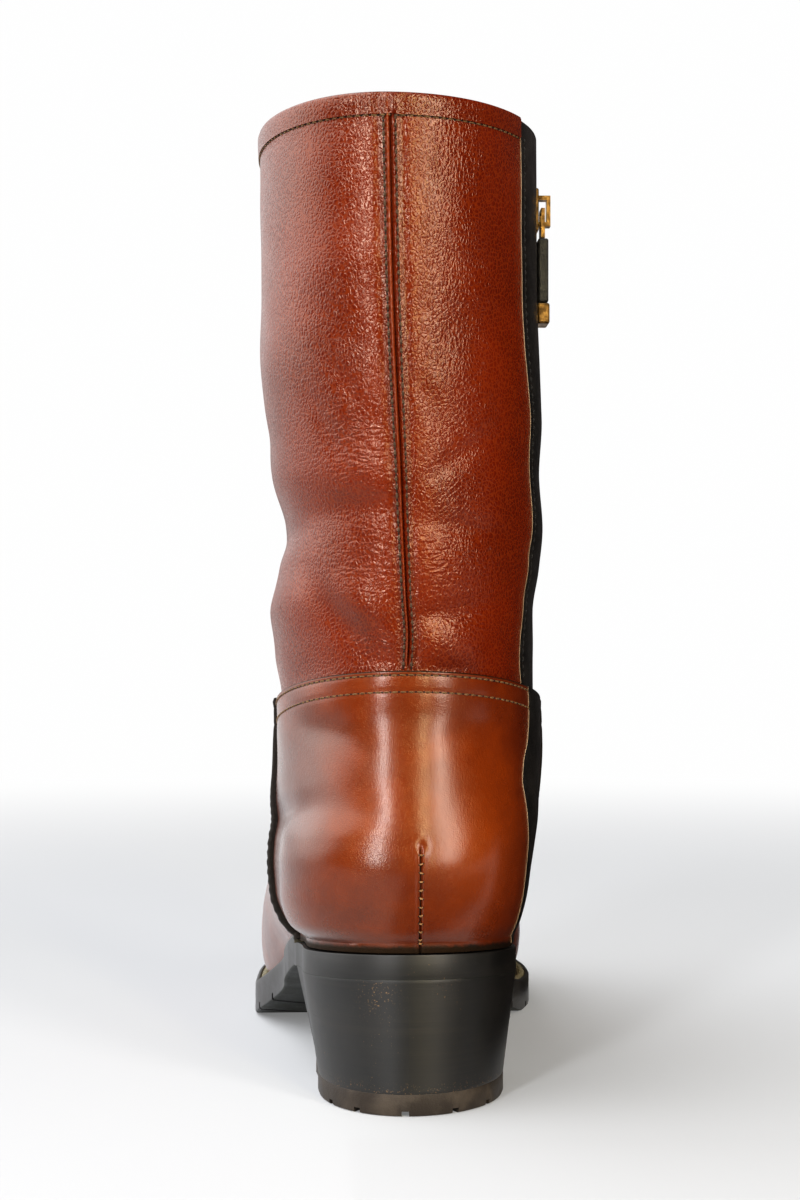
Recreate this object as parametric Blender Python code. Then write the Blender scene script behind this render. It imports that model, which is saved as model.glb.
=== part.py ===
"""Tall leather boot for the left foot, with a stacked block heel and a zip on the inner side.

Sizes are in millimetres here and become metres when a mesh is made. The heel's back is near y = 0, the toe points
along +Y, the outer (lateral) side is -X, the inner (medial) side is +X and the floor is at z = 0. An empty then moves
everything so that the origin is under the middle of the boot.
"""
import math
from collections import Counter

import bmesh
import bpy
import numpy as np

MM = 0.001
WELD = 0.000001          # points nearer than this, in metres, become one
GAP = 0.35               # left between two pieces that meet
CURVED_GAP = 0.6         # the same beside the upper's curved faces, whose flat facets take up part of it

# Driving sizes of the last and the shaft
LAST_LENGTH = 262.5      # heel back to toe tip, at the upper's longest level
BALL_WIDTH = 98.5        # over the upper at the ball
INSTEP_HEIGHT = 76.0     # upper above the sole at the instep
COUNTER_HEIGHT = 83.5    # back panel's top above the heel seat
WALL = 2.2               # leather and lining together
COUNTER_THICK = 1.8
INSOLE_THICK = 3.0
WELT_THICK = 3.0
WELT_ROUND = 0.8

# Sole in side view: distance from the heel's back, height of the sole's under side, thickness
SOLE_COLUMNS = ("y", "bottom", "thick")
SOLE = (
    (-5.0, 40.4, 7.5),
    (30.0, 37.3, 7.5),
    (62.0, 34.4, 7.6),
    (90.0, 25.6, 8.0),
    (120.0, 14.2, 8.4),
    (146.0, 4.6, 8.5),
    (164.0, 0.0, 8.5),
    (206.0, 0.0, 8.5),
    (240.0, 2.6, 8.2),
    (270.0, 9.0, 7.6),
)

# Sole's edge beyond the upper, at shares of the foot's length
EDGE_SHARE = (0.0, 0.22, 0.40, 0.68, 1.0)
EDGE_MARGIN = (3.3, 3.6, 4.6, 7.5, 7.0)

# Foot, a row for each level from the sole to the top of the back panel.
# back_y is in millimetres, back_up a share of COUNTER_HEIGHT, front_y of LAST_LENGTH and front_up of INSTEP_HEIGHT,
# both heights above the sole under that point. follow says how much the level keeps the sole's curve.
# The half widths on the lateral (l) and medial (m) side at heel, waist and ball are shares of BALL_WIDTH.
# round_back and round_front are the lengths of the rounded ends, and swing moves the toe to the medial side.
FOOT_COLUMNS = ("back_y", "back_up", "front_y", "front_up", "follow", "heel_l", "heel_m", "waist_l", "waist_m",
                "ball_l", "ball_m", "round_back", "round_front", "swing")
FOOT = (
    (6.0, 0.000, 0.983, 0.000, 1.00, 0.289, 0.323, 0.366, 0.256, 0.479, 0.444, 38.0, 74.0, 5.0),
    (6.0, 0.036, 0.983, 0.053, 1.00, 0.289, 0.323, 0.366, 0.256, 0.479, 0.444, 38.0, 74.0, 5.0),
    (3.6, 0.098, 0.995, 0.125, 0.95, 0.354, 0.343, 0.396, 0.304, 0.511, 0.470, 40.0, 73.0, 5.0),
    (0.9, 0.200, 1.000, 0.215, 0.85, 0.378, 0.362, 0.436, 0.330, 0.521, 0.479, 41.0, 72.0, 5.0),
    (0.0, 0.305, 0.990, 0.315, 0.70, 0.378, 0.373, 0.446, 0.359, 0.511, 0.466, 42.0, 72.0, 4.5),
    (0.8, 0.400, 0.957, 0.435, 0.50, 0.368, 0.387, 0.439, 0.384, 0.480, 0.434, 43.0, 76.0, 4.0),
    (3.0, 0.509, 0.890, 0.555, 0.35, 0.343, 0.403, 0.420, 0.409, 0.432, 0.394, 45.0, 82.0, 3.0),
    (5.6, 0.617, 0.785, 0.680, 0.20, 0.367, 0.410, 0.405, 0.421, 0.384, 0.359, 47.0, 87.0, 2.2),
    (7.8, 0.737, 0.680, 0.810, 0.10, 0.386, 0.415, 0.400, 0.429, 0.357, 0.352, 50.0, 86.0, 1.5),
    (9.0, 0.856, 0.598, 1.000, 0.00, 0.395, 0.418, 0.402, 0.433, 0.355, 0.363, 52.0, 78.0, 1.0),
    (9.0, 1.000, 0.549, 1.200, 0.00, 0.386, 0.418, 0.394, 0.431, 0.370, 0.384, 55.0, 72.0, 0.5),
)
# Heel, waist and ball as shares of a level's length, on each side
STATIONS = {"l": (0.13, 0.38, 0.63), "m": (0.13, 0.42, 0.71)}

# Shaft, a row for each fold: height at the back, the front's rise over it, back and front, half widths as shares
# of BALL_WIDTH on each side of the back seam's plane, and how far that plane leans to the lateral side
SHAFT_COLUMNS = ("height", "rise", "back_y", "front_y", "lateral", "medial", "lean")
SHAFT = (
    (141.0, -12.0, 8.0, 136.0, 0.419, 0.434, 0.3),
    (152.0, -6.0, 6.8, 131.0, 0.421, 0.437, -0.4),
    (164.0, -1.0, 5.6, 128.5, 0.392, 0.463, -1.0),
    (177.0, 1.0, 4.6, 126.5, 0.366, 0.479, -1.6),
    (192.0, 1.0, 3.2, 125.0, 0.405, 0.472, -2.2),
    (211.0, 1.0, 1.4, 123.5, 0.412, 0.489, -3.2),
    (228.0, 1.0, 0.0, 122.5, 0.422, 0.489, -4.0),
    (250.0, 2.0, -1.5, 122.0, 0.409, 0.487, -4.8),
    (275.0, 3.0, -3.0, 121.5, 0.405, 0.491, -5.4),
    (298.0, 4.0, -4.0, 121.5, 0.403, 0.494, -5.9),
)
COUNTER_TOP = len(FOOT) - 1                 # level of the back panel's top edge
COLLAR = len(FOOT) + len(SHAFT) - 1         # level of the collar
END_POWER = 2.2                             # of the rounded ends; 2 is an ellipse

# Back panel's front edge in side view: level and distance from the heel's back
COUNTER_EDGE_LEVEL = (0.0, 3.0, 6.0, 10.0)
COUNTER_EDGE_Y = (65.0, 67.0, 64.5, 67.0)

# Heel
BREAST_TOP_Y = 62.0
BREAST_BOTTOM_Y = 57.0
HEEL_TAPER = {"back": -2.0, "l": 5.6, "m": 5.0}    # how far its edge comes in from the sole down to the floor
TOP_LIFT_THICK = 6.5
HEEL_RINGS = (1.0, 0.7, 0.35, 0.0)
NOTCH_TURN_DEG = (-58.0, -32.0, -2.0, 28.0, 56.0)    # from straight back, to the medial side
NOTCH_WIDTH = 2.2
NOTCH_HEIGHT = 1.6
NOTCH_LENGTH = 12.0
HEEL_MIDDLE_Y = 31.0
HEEL_RADIUS = 30.0

# Chevron grooves between the lugs under waist and forefoot
GROOVE_FIRST_Y = 150.0
GROOVE_STEP = 22.0
GROOVE_COUNT = 5
GROOVE_WIDTH = 2.4
GROOVE_DEPTH = 2.6
GROOVE_SWEEP = 0.5       # how far an arm falls back per millimetre to the side
GROOVE_REACH = 62.0
GROOVE_POINTS = 7        # along each arm

# Zip on the medial side
ZIP_TURN = 1.5 * math.pi
ZIP_BOTTOM = 10.35       # level of the slot's lower end
SLOT_HALF = 4.5
CHAIN_HALF = 2.6
TAPE_HALF = 12.0
TAPE_THICK = 0.9
CHAIN_PROUD = -0.2       # chain's face beyond the upper's
ZIP_LAP = 0.12           # levels that the tape runs past the slot's lower end, and stops under the collar
SLIDER_LEVEL = 19.13
CHAIN_TOP = 18.82        # level of the chain's upper end, just under the slider
SLIDER_BODY = ((-1.8, -3.8, -7.0), (1.6, 3.8, 7.0))
BRIDGE_FEET = 1.2
BRIDGE_WINDOW = 4.4
BRIDGE_OUT = 5.6
BRIDGE_HALF_HEIGHT = 5.0
BRIDGE_LEG = 1.4
BRIDGE_HALF_WIDTH = 1.5
PIVOT_OUT = 3.0          # hinge line of the pull beyond the upper's face
LINK_BAR = 0.6           # half thickness of the link
LINK_HALF_WIDTH = 3.2
LINK_WINDOW_HALF = 2.0
LINK_WINDOW_LOW = -6.2
LINK_LOW = -9.0
TAB_HALF = (1.7, 4.0)
TAB_LOW = -30.0
PULL_END_HALF = (2.0, 4.6)
PULL_END_LOW = -37.0
SMALL_BEVEL = 0.6

# Mesh density
COLUMNS = 56
FOOT_STEPS = 2
SHAFT_STEPS = 1
COUNTER_COLUMNS = 19
RUNGS = 65               # across sole and insole, from heel to toe
HEEL_RUNGS = 17
WELT_SECTIONS = 65

# Colours (linear), roughness and metallic value of each material
MATERIALS = {
    "upper_leather": ((0.27, 0.055, 0.012), 0.42, 0.0),
    "counter_leather": ((0.33, 0.075, 0.012), 0.28, 0.0),
    "insole_leather": ((0.45, 0.30, 0.17), 0.70, 0.0),
    "welt_leather": ((0.13, 0.11, 0.07), 0.60, 0.0),
    "sole_rubber": ((0.020, 0.020, 0.020), 0.55, 0.0),
    "heel_leather": ((0.022, 0.018, 0.015), 0.35, 0.0),
    "lift_rubber": ((0.050, 0.035, 0.025), 0.60, 0.0),
    "zip_tape": ((0.012, 0.012, 0.012), 0.90, 0.0),
    "zip_metal": ((0.22, 0.13, 0.05), 0.40, 1.0),
    "pull_leather": ((0.015, 0.013, 0.012), 0.50, 0.0),
}


def smooth_curve(places, values, at):
    """Smooth curve through a table's values that doesn't swing past them."""
    places = np.asarray(places, float)
    values = np.asarray(values, float)
    step = np.diff(places)
    slope = np.diff(values) / step
    tangent = np.concatenate((slope[:1], np.zeros(len(slope) - 1), slope[-1:]))
    for knot in range(1, len(slope)):
        before, after = slope[knot - 1], slope[knot]
        if before * after > 0:
            near = step[knot - 1] + 2 * step[knot]
            far = 2 * step[knot - 1] + step[knot]
            tangent[knot] = (near + far) / (near / before + far / after)
    at = np.clip(np.asarray(at, float), places[0], places[-1])
    cell = np.clip(np.searchsorted(places, at, side="right") - 1, 0, len(step) - 1)
    share = (at - places[cell]) / step[cell]
    rest = 1 - share
    start = values[cell] * (1 + 2 * share) + tangent[cell] * step[cell] * share
    end = values[cell + 1] * (1 + 2 * rest) - tangent[cell + 1] * step[cell] * rest
    return start * rest ** 2 + end * share ** 2


def table_column(rows, columns, name):
    """Values of one named column."""
    place = columns.index(name)
    return np.array([row[place] for row in rows])


def sole_bottom(y):
    """Height of the sole's under side."""
    places = table_column(SOLE, SOLE_COLUMNS, "y")
    return smooth_curve(places, table_column(SOLE, SOLE_COLUMNS, "bottom"), y)


def sole_top(y):
    """Height of the face that upper, welt and insole stand on."""
    places = table_column(SOLE, SOLE_COLUMNS, "y")
    return sole_bottom(y) + smooth_curve(places, table_column(SOLE, SOLE_COLUMNS, "thick"), y)


def level_table():
    """All levels from sole to collar in millimetres, as a dictionary of columns."""
    foot = {name: table_column(FOOT, FOOT_COLUMNS, name) for name in FOOT_COLUMNS}
    shaft = {name: table_column(SHAFT, SHAFT_COLUMNS, name) for name in SHAFT_COLUMNS}
    none = np.zeros(len(SHAFT))
    depth = shaft["front_y"] - shaft["back_y"]
    foot_front = foot["front_y"] * LAST_LENGTH
    foot_back_z = sole_top(foot["back_y"]) + CURVED_GAP + foot["back_up"] * COUNTER_HEIGHT
    foot_front_z = sole_top(foot_front) + CURVED_GAP + foot["front_up"] * INSTEP_HEIGHT
    joined = {
        "back_y": (foot["back_y"], shaft["back_y"]),
        "back_z": (foot_back_z, shaft["height"]),
        "front_y": (foot_front, shaft["front_y"]),
        "front_z": (foot_front_z, shaft["height"] + shaft["rise"]),
        "follow": (foot["follow"], none),
        "round_back": (foot["round_back"], depth / 2),
        "round_front": (foot["round_front"], depth / 2),
        "swing": (foot["swing"], none),
        "lean": (np.zeros(len(FOOT)), shaft["lean"]),
    }
    for station in ("heel", "waist", "ball"):
        joined[station + "_l"] = (foot[station + "_l"] * BALL_WIDTH, shaft["lateral"] * BALL_WIDTH)
        joined[station + "_m"] = (foot[station + "_m"] * BALL_WIDTH, shaft["medial"] * BALL_WIDTH)
    return {name: np.concatenate(parts) for name, parts in joined.items()}


LEVELS = level_table()


def at_level(name, level):
    """One column of the level table between its rows."""
    return smooth_curve(np.arange(COLLAR + 1), LEVELS[name], level)


def ease(share):
    """Runs from 0 to 1 with level ends."""
    share = np.clip(share, 0.0, 1.0)
    return share * share * (3 - 2 * share)


def half_width(level, share, side):
    """Half width of a level at a share of its length, on side l or m."""
    heel, waist, ball = (at_level(station + side, level) for station in ("heel_", "waist_", "ball_"))
    at_heel, at_waist, at_ball = STATIONS[side]
    to_waist = ease((share - at_heel) / (at_waist - at_heel))
    to_ball = ease((share - at_waist) / (at_ball - at_waist))
    return heel + (waist - heel) * to_waist + (ball - waist) * to_ball


def rounded_end(distance, length):
    """Width's share near an end that is rounded over a length."""
    inside = 1 - np.clip(distance / length, 0.0, 1.0)
    return np.sqrt(1 - inside ** END_POWER)


def skin(level, turn):
    """Outer face of the upper. The turn runs from the back (0) by the lateral side to the front (pi) and round."""
    level, turn = np.broadcast_arrays(np.asarray(level, float), np.asarray(turn, float))
    share = (1 - np.cos(turn)) / 2
    back_y = at_level("back_y", level)
    front_y = at_level("front_y", level)
    length = front_y - back_y
    y = back_y + length * share
    ends = rounded_end(length * share, at_level("round_back", level))
    ends = ends * rounded_end(length * (1 - share), at_level("round_front", level))
    lateral = np.sin(turn) >= 0
    side = np.where(lateral, -half_width(level, share, "l"), half_width(level, share, "m"))
    x = at_level("lean", level) + at_level("swing", level) * ease(share) + side * ends
    follow = at_level("follow", level)
    back_rest = at_level("back_z", level) - follow * sole_top(back_y)
    front_rest = at_level("front_z", level) - follow * sole_top(front_y)
    z = follow * sole_top(y) + back_rest + (front_rest - back_rest) * share
    return np.stack((x, y, z), axis=-1)


def form(level, turn, out):
    """The upper's outer face moved outwards by a distance, or inwards where it is negative."""
    level, turn = np.broadcast_arrays(np.asarray(level, float), np.asarray(turn, float))
    small = 0.001
    lower = np.clip(level - small, 0, COLLAR)
    upper = np.clip(level + small, 0, COLLAR)
    along = skin(level, turn + small) - skin(level, turn - small)
    up = skin(upper, turn) - skin(lower, turn)
    normal = np.cross(up, along)
    normal /= np.linalg.norm(normal, axis=-1, keepdims=True)
    return skin(level, turn) + out * normal


def turn_at(level, y):
    """Turn on the lateral side where a level passes a distance from the heel's back."""
    back_y = at_level("back_y", level)
    share = (y - back_y) / (at_level("front_y", level) - back_y)
    return np.arccos(1 - 2 * share)


def outline(turn, margin):
    """Plan outline of the upper at the sole, moved outwards by a margin: x and y."""
    small = 0.001
    along = (skin(0, turn + small) - skin(0, turn - small))[..., :2]
    along /= np.linalg.norm(along, axis=-1, keepdims=True)
    outward = np.stack((-along[..., 1], along[..., 0]), axis=-1)
    return skin(0, turn)[..., :2] + np.asarray(margin)[..., None] * outward


def sole_margin(turn):
    """Sole's edge beyond the upper."""
    return smooth_curve(EDGE_SHARE, EDGE_MARGIN, (1 - np.cos(turn)) / 2)


def all_levels(last):
    """Levels of the upper's mesh rows, up to a last one."""
    foot = np.concatenate(((0.0,), np.linspace(1, COUNTER_TOP, (COUNTER_TOP - 1) * FOOT_STEPS + 1)))
    shaft = np.linspace(COUNTER_TOP, COLLAR, (COLLAR - COUNTER_TOP) * SHAFT_STEPS + 1)[1:]
    levels = np.concatenate((foot, shaft))
    return levels[levels <= last]


def make_material(name):
    """Principled material from the table of colours."""
    colour, roughness, metallic = MATERIALS[name]
    material = bpy.data.materials.new(name)
    material.use_nodes = True
    shader = material.node_tree.nodes["Principled BSDF"]
    shader.inputs["Base Color"].default_value = (*colour, 1.0)
    shader.inputs["Roughness"].default_value = roughness
    shader.inputs["Metallic"].default_value = metallic
    return material


def add_piece(name, points, faces, material, parent, sharp_deg=40.0):
    """One closed mesh object from points in millimetres, measured from its parent."""
    mesh = bpy.data.meshes.new(name)
    mesh.from_pydata((np.asarray(points).reshape(-1, 3) * MM).tolist(), [], faces)
    shape = bmesh.new()
    shape.from_mesh(mesh)
    bmesh.ops.remove_doubles(shape, verts=shape.verts, dist=WELD)
    bmesh.ops.recalc_face_normals(shape, faces=shape.faces)
    shape.to_mesh(mesh)
    shape.free()
    mesh.shade_smooth()
    mesh.set_sharp_from_angle(angle=math.radians(sharp_deg))
    if material:
        mesh.materials.append(bpy.data.materials.get(material) or make_material(material))
    piece = bpy.data.objects.new(name, mesh)
    bpy.context.scene.collection.objects.link(piece)
    piece.parent = parent
    return piece


def grid_faces(rows, columns, closed, left_out=()):
    """Quads of a grid of points, without the cells left out; a closed grid joins its last column to its first."""
    faces = []
    for row in range(rows - 1):
        for column in range(columns if closed else columns - 1):
            if (row, column) not in left_out:
                beside = (column + 1) % columns
                low, high = row * columns, (row + 1) * columns
                faces.append((low + column, low + beside, high + beside, high + column))
    return faces


def add_shell(name, outer, inner, closed, material, parent, left_out=()):
    """Solid between two grids of points: a tube where the grid is closed, else a curved plate.

    Cells left out, given as row and column, are openings through it.
    """
    rows, columns = outer.shape[:2]
    count = rows * columns
    cells = grid_faces(rows, columns, closed, left_out)
    uses = Counter(tuple(sorted(edge)) for cell in cells for edge in zip(cell, cell[1:] + cell[:1]))
    faces = cells + [tuple(number + count for number in cell) for cell in cells]
    faces += [(low, high, high + count, low + count) for (low, high), used in uses.items() if used == 1]
    points = np.concatenate((outer.reshape(-1, 3), inner.reshape(-1, 3)))
    return add_piece(name, points, faces, material, parent)


def add_sweep(name, sections, material, parent):
    """Solid through a row of like closed sections, with flat ends."""
    rows, columns = sections.shape[:2]
    faces = grid_faces(rows, columns, True)
    faces.append(tuple(range(columns)))
    faces.append(tuple(range((rows - 1) * columns, rows * columns)))
    return add_piece(name, sections, faces, material, parent)


def add_stack(name, rings, material, parent):
    """Solid through a stack of outlines, each given as rungs from the lateral to the medial edge."""
    layers, rungs = rings.shape[:2]
    loops = np.concatenate((rings[:, :, 0], rings[:, ::-1, 1]), axis=1)
    around = 2 * rungs
    faces = grid_faces(layers, around, True)
    for layer in (0, layers - 1):
        first = layer * around
        for rung in range(rungs - 1):
            far = first + around - 1 - rung
            faces.append((first + rung, first + rung + 1, far - 1, far))
    return add_piece(name, loops, faces, material, parent)


def rungs_at(turns, margins, height):
    """Rungs across the foot at turns from 0 to pi, with the lateral and medial margin and heights from a function."""
    sides = []
    for side, margin in zip((turns, 2 * math.pi - turns), margins):
        plan = outline(side, margin)
        sides.append(np.concatenate((plan, height(plan[:, 1])[:, None]), axis=1))
    return np.stack(sides, axis=1)


def add_box(name, low, high, material, parent, bevel=0.0):
    """Box between two corners, with rounded edges where a bevel is given."""
    corners = [[(low, high)[i][0], (low, high)[j][1], (low, high)[k][2]]
               for i in (0, 1) for j in (0, 1) for k in (0, 1)]
    faces = [(0, 1, 3, 2), (4, 6, 7, 5), (0, 4, 5, 1), (2, 3, 7, 6), (0, 2, 6, 4), (1, 5, 7, 3)]
    piece = add_piece(name, corners, faces, material, parent)
    if bevel:
        rounding = piece.modifiers.new("rounding", "BEVEL")
        rounding.width = bevel * MM
        rounding.segments = 2
    return piece


def combine(piece, other, operation):
    """Cuts a hidden helper out of a piece, or joins it on."""
    other.hide_render = True
    other.display_type = "WIRE"
    change = piece.modifiers.new(other.name, "BOOLEAN")
    change.object = other
    change.operation = operation
    change.solver = "EXACT"


def zip_turns(half, levels):
    """Turns of the two edges and the middle of a strip along the zip, at each level."""
    depth = at_level("front_y", levels) - at_level("back_y", levels)
    return ZIP_TURN + np.array((-1.0, 0.0, 1.0)) * half / (depth[:, None] / 2)


def zip_strip(name, half, low, high, faces_out, material, parent):
    """Curved plate along the zip from one level to another, between two faces measured from the upper's."""
    levels = all_levels(COLLAR)
    levels = np.concatenate(((low,), levels[(levels > low) & (levels < high)], (high,)))
    outer, inner = (form(levels[:, None], zip_turns(half, levels), out) for out in faces_out)
    add_shell(name, outer, inner, False, material, parent)


def add_upper(parent):
    """Vamp and shaft as one wall, open at the collar and underneath, with the zip's slot."""
    levels = np.sort(np.append(all_levels(COLLAR), ZIP_BOTTOM))
    turns = np.tile(np.arange(COLUMNS) * 2 * math.pi / COLUMNS, (len(levels), 1))
    middle = round(ZIP_TURN / (2 * math.pi) * COLUMNS)
    beside_zip = levels >= ZIP_BOTTOM
    turns[beside_zip, middle - 1:middle + 2] = zip_turns(SLOT_HALF, levels[beside_zip])
    slot = {(row, column) for row in np.flatnonzero(beside_zip) for column in (middle - 1, middle)}
    faces = [form(levels[:, None], turns, out) for out in (0.0, -WALL)]
    add_shell("upper", faces[0], faces[1], True, "upper_leather", parent, slot)


def add_counter(parent):
    """Back panel that stands proud, between two forms larger than the upper."""
    levels = all_levels(COUNTER_TOP)[:, None]
    edge = turn_at(levels, smooth_curve(COUNTER_EDGE_LEVEL, COUNTER_EDGE_Y, levels))
    turns = edge * np.linspace(-1, 1, COUNTER_COLUMNS)[None, :]
    outer = form(levels, turns, CURVED_GAP + COUNTER_THICK)
    inner = form(levels, turns, CURVED_GAP)
    add_shell("heel_counter", outer, inner, False, "counter_leather", parent)


def half_turns():
    """Turns of the rungs, from the back to the front."""
    return np.linspace(0, math.pi, RUNGS)


def add_insole(parent):
    """Board inside the upper."""
    turns = half_turns()
    margins = np.full((2, len(turns)), -WALL - CURVED_GAP)
    rings = [rungs_at(turns, margins, lambda y, up=up: sole_top(y) + GAP + up) for up in (0.0, INSOLE_THICK)]
    add_stack("insole", np.stack(rings), "insole_leather", parent)


def add_outsole(parent):
    """Sole from heel seat to toe, with chevron grooves between its lugs."""
    turns = half_turns()
    margins = (sole_margin(turns), sole_margin(turns))
    rings = [rungs_at(turns, margins, sole_bottom), rungs_at(turns, margins, sole_top)]
    piece = add_stack("outsole", np.stack(rings), "sole_rubber", parent)
    x = np.linspace(-GROOVE_REACH, GROOVE_REACH, 2 * GROOVE_POINTS - 1)
    for groove in range(GROOVE_COUNT):
        y = GROOVE_FIRST_Y + groove * GROOVE_STEP - GROOVE_SWEEP * np.abs(x)
        corners = []
        for ahead, up in ((-0.5, -1.0), (0.5, -1.0), (0.5, 1.0), (-0.5, 1.0)):
            edge_y = y + ahead * GROOVE_WIDTH
            corners.append(np.stack((x, edge_y, sole_bottom(edge_y) + up * GROOVE_DEPTH), axis=-1))
        cutter = add_sweep(f"groove_cutter_{groove}", np.stack(corners, axis=1), None, parent)
        combine(piece, cutter, "DIFFERENCE")


def add_welt(parent):
    """Strip round the forefoot and waist, from one end of the back panel to the other."""
    start = float(turn_at(0.0, max(COUNTER_EDGE_Y) + 2 * GAP))
    turns = np.linspace(start, 2 * math.pi - start, WELT_SECTIONS)
    edge = sole_margin(turns)
    inside = np.full(len(turns), CURVED_GAP)
    corners = ((inside, 0.0), (edge, 0.0), (edge, WELT_THICK - WELT_ROUND), (edge - WELT_ROUND, WELT_THICK),
               (inside, WELT_THICK))
    points = []
    for margin, up in corners:
        plan = outline(turns, margin)
        points.append(np.concatenate((plan, (sole_top(plan[:, 1]) + GAP + up)[:, None]), axis=1))
    add_sweep("welt", np.stack(points, axis=1), "welt_leather", parent)


def heel_rungs(height_share, height):
    """Rungs of the heel at a share of its height, where 1 is under the sole."""
    breast = BREAST_BOTTOM_Y + (BREAST_TOP_Y - BREAST_BOTTOM_Y) * height_share
    turns = np.linspace(0, float(turn_at(0.0, breast)), HEEL_RUNGS)
    margins = []
    for side in ("l", "m"):
        taper = HEEL_TAPER["back"] + (HEEL_TAPER[side] - HEEL_TAPER["back"]) * ease(turns / turns[-1])
        margins.append(sole_margin(turns) - taper * (1 - height_share))
    return rungs_at(turns, margins, height)


def add_heel(parent):
    """Stacked heel that tapers to the floor, and the wear layer with its tread notches."""
    low = TOP_LIFT_THICK + GAP
    rings = []
    for share in HEEL_RINGS:
        rings.append(heel_rungs(share, lambda y, share=share: low + share * (sole_bottom(y) - GAP - low)))
    add_stack("heel_block", np.stack(rings), "heel_leather", parent)
    rings = [heel_rungs(0.0, lambda y, up=up: np.full(len(y), up)) for up in (TOP_LIFT_THICK, 0.0)]
    lift = add_stack("top_lift", np.stack(rings), "lift_rubber", parent)
    for number, degrees in enumerate(NOTCH_TURN_DEG):
        add_notch(lift, number, math.radians(degrees), parent)


def add_notch(lift, number, turn, parent):
    """One tread notch, cut into the wear layer's lower edge on a line from the heel's middle."""
    outward = np.array((math.sin(turn), -math.cos(turn), 0.0))
    across = np.array((math.cos(turn), math.sin(turn), 0.0)) * NOTCH_WIDTH / 2
    middle = np.array((0.0, HEEL_MIDDLE_Y, 0.0))
    up = np.array((0.0, 0.0, NOTCH_HEIGHT))
    sections = []
    for reach in (HEEL_RADIUS - NOTCH_LENGTH, HEEL_RADIUS + NOTCH_LENGTH):
        end = middle + outward * reach
        sections.append((end - across - up, end + across - up, end + across + up, end - across + up))
    combine(lift, add_sweep(f"notch_cutter_{number}", np.array(sections), None, parent), "DIFFERENCE")


def add_zip(parent):
    """Tape behind the slot, the closed chain in it, and the slider with its pull at the top."""
    inside = -WALL - CURVED_GAP
    zip_strip("zip_tape", TAPE_HALF, ZIP_BOTTOM - ZIP_LAP, COLLAR - ZIP_LAP, (inside, inside - TAPE_THICK),
              "zip_tape", parent)
    seat = skin(SLIDER_LEVEL, ZIP_TURN)
    zip_strip("zip_chain", CHAIN_HALF, ZIP_BOTTOM + ZIP_LAP, CHAIN_TOP, (CHAIN_PROUD, inside + GAP),
              "zip_metal", parent)
    add_slider(seat, parent)
    add_pull(seat, parent)


def add_slider(seat, parent):
    """Slider's body with the bridge that the pull hangs on."""
    low, high = (seat + np.array(corner) for corner in SLIDER_BODY)
    slider = add_box("zip_slider", low, high, "zip_metal", parent, SMALL_BEVEL)
    window = BRIDGE_HALF_HEIGHT - BRIDGE_LEG
    profile = ((BRIDGE_FEET, -BRIDGE_HALF_HEIGHT), (BRIDGE_OUT, -BRIDGE_HALF_HEIGHT),
               (BRIDGE_OUT, BRIDGE_HALF_HEIGHT), (BRIDGE_FEET, BRIDGE_HALF_HEIGHT),
               (BRIDGE_FEET, window), (BRIDGE_WINDOW, window), (BRIDGE_WINDOW, -window), (BRIDGE_FEET, -window))
    sections = [[seat + np.array((out, side, up)) for out, up in profile]
                for side in (-BRIDGE_HALF_WIDTH, BRIDGE_HALF_WIDTH)]
    bridge = add_sweep("bridge_joined", np.array(sections), None, parent)
    combine(slider, bridge, "UNION")


def add_pull(seat, parent):
    """Link, leather tab and metal end that swing together on the slider's bridge."""
    pivot = bpy.data.objects.new("zip_pull_pivot", None)
    bpy.context.scene.collection.objects.link(pivot)
    pivot.parent = parent
    pivot.location = (seat + np.array((PIVOT_OUT, 0.0, 0.0))) * MM
    link = add_box("zip_pull_link", (-LINK_BAR, -LINK_HALF_WIDTH, LINK_LOW), (LINK_BAR, LINK_HALF_WIDTH, LINK_BAR),
                   "zip_metal", pivot)
    window = add_box("link_window_cutter", (-2 * LINK_BAR, -LINK_WINDOW_HALF, LINK_WINDOW_LOW),
                     (2 * LINK_BAR, LINK_WINDOW_HALF, -LINK_BAR), None, pivot)
    combine(link, window, "DIFFERENCE")
    add_box("zip_pull_tab", (-TAB_HALF[0], -TAB_HALF[1], TAB_LOW), (*TAB_HALF, LINK_LOW - GAP), "pull_leather",
            pivot, SMALL_BEVEL)
    add_box("zip_pull_end", (-PULL_END_HALF[0], -PULL_END_HALF[1], PULL_END_LOW), (*PULL_END_HALF, TAB_LOW - GAP),
            "zip_metal", pivot, SMALL_BEVEL)


def centre_on_floor(frame):
    """Moves the frame so that the origin lies under the middle of the boot's box."""
    bpy.context.view_layer.update()
    corners = [piece.matrix_world @ vertex.co for piece in bpy.data.objects
               if piece.type == "MESH" and not piece.hide_render for vertex in piece.data.vertices]
    for axis in (0, 1):
        values = [corner[axis] for corner in corners]
        frame.location[axis] = -(min(values) + max(values)) / 2


def main():
    """Builds the boot."""
    for old in list(bpy.data.objects):
        bpy.data.objects.remove(old)
    frame = bpy.data.objects.new("boot_frame", None)
    bpy.context.scene.collection.objects.link(frame)
    add_upper(frame)
    add_counter(frame)
    add_insole(frame)
    add_outsole(frame)
    add_welt(frame)
    add_heel(frame)
    add_zip(frame)
    centre_on_floor(frame)


main()
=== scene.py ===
"""Looks of the tall leather boot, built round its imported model.

Shapes are worked out in millimetres from the heel's back, as in the part: the toe points along +Y, the outer
(lateral) side is -X, the inner (medial) side is +X and the floor is at z = 0.
"""
import math
from collections import Counter

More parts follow.
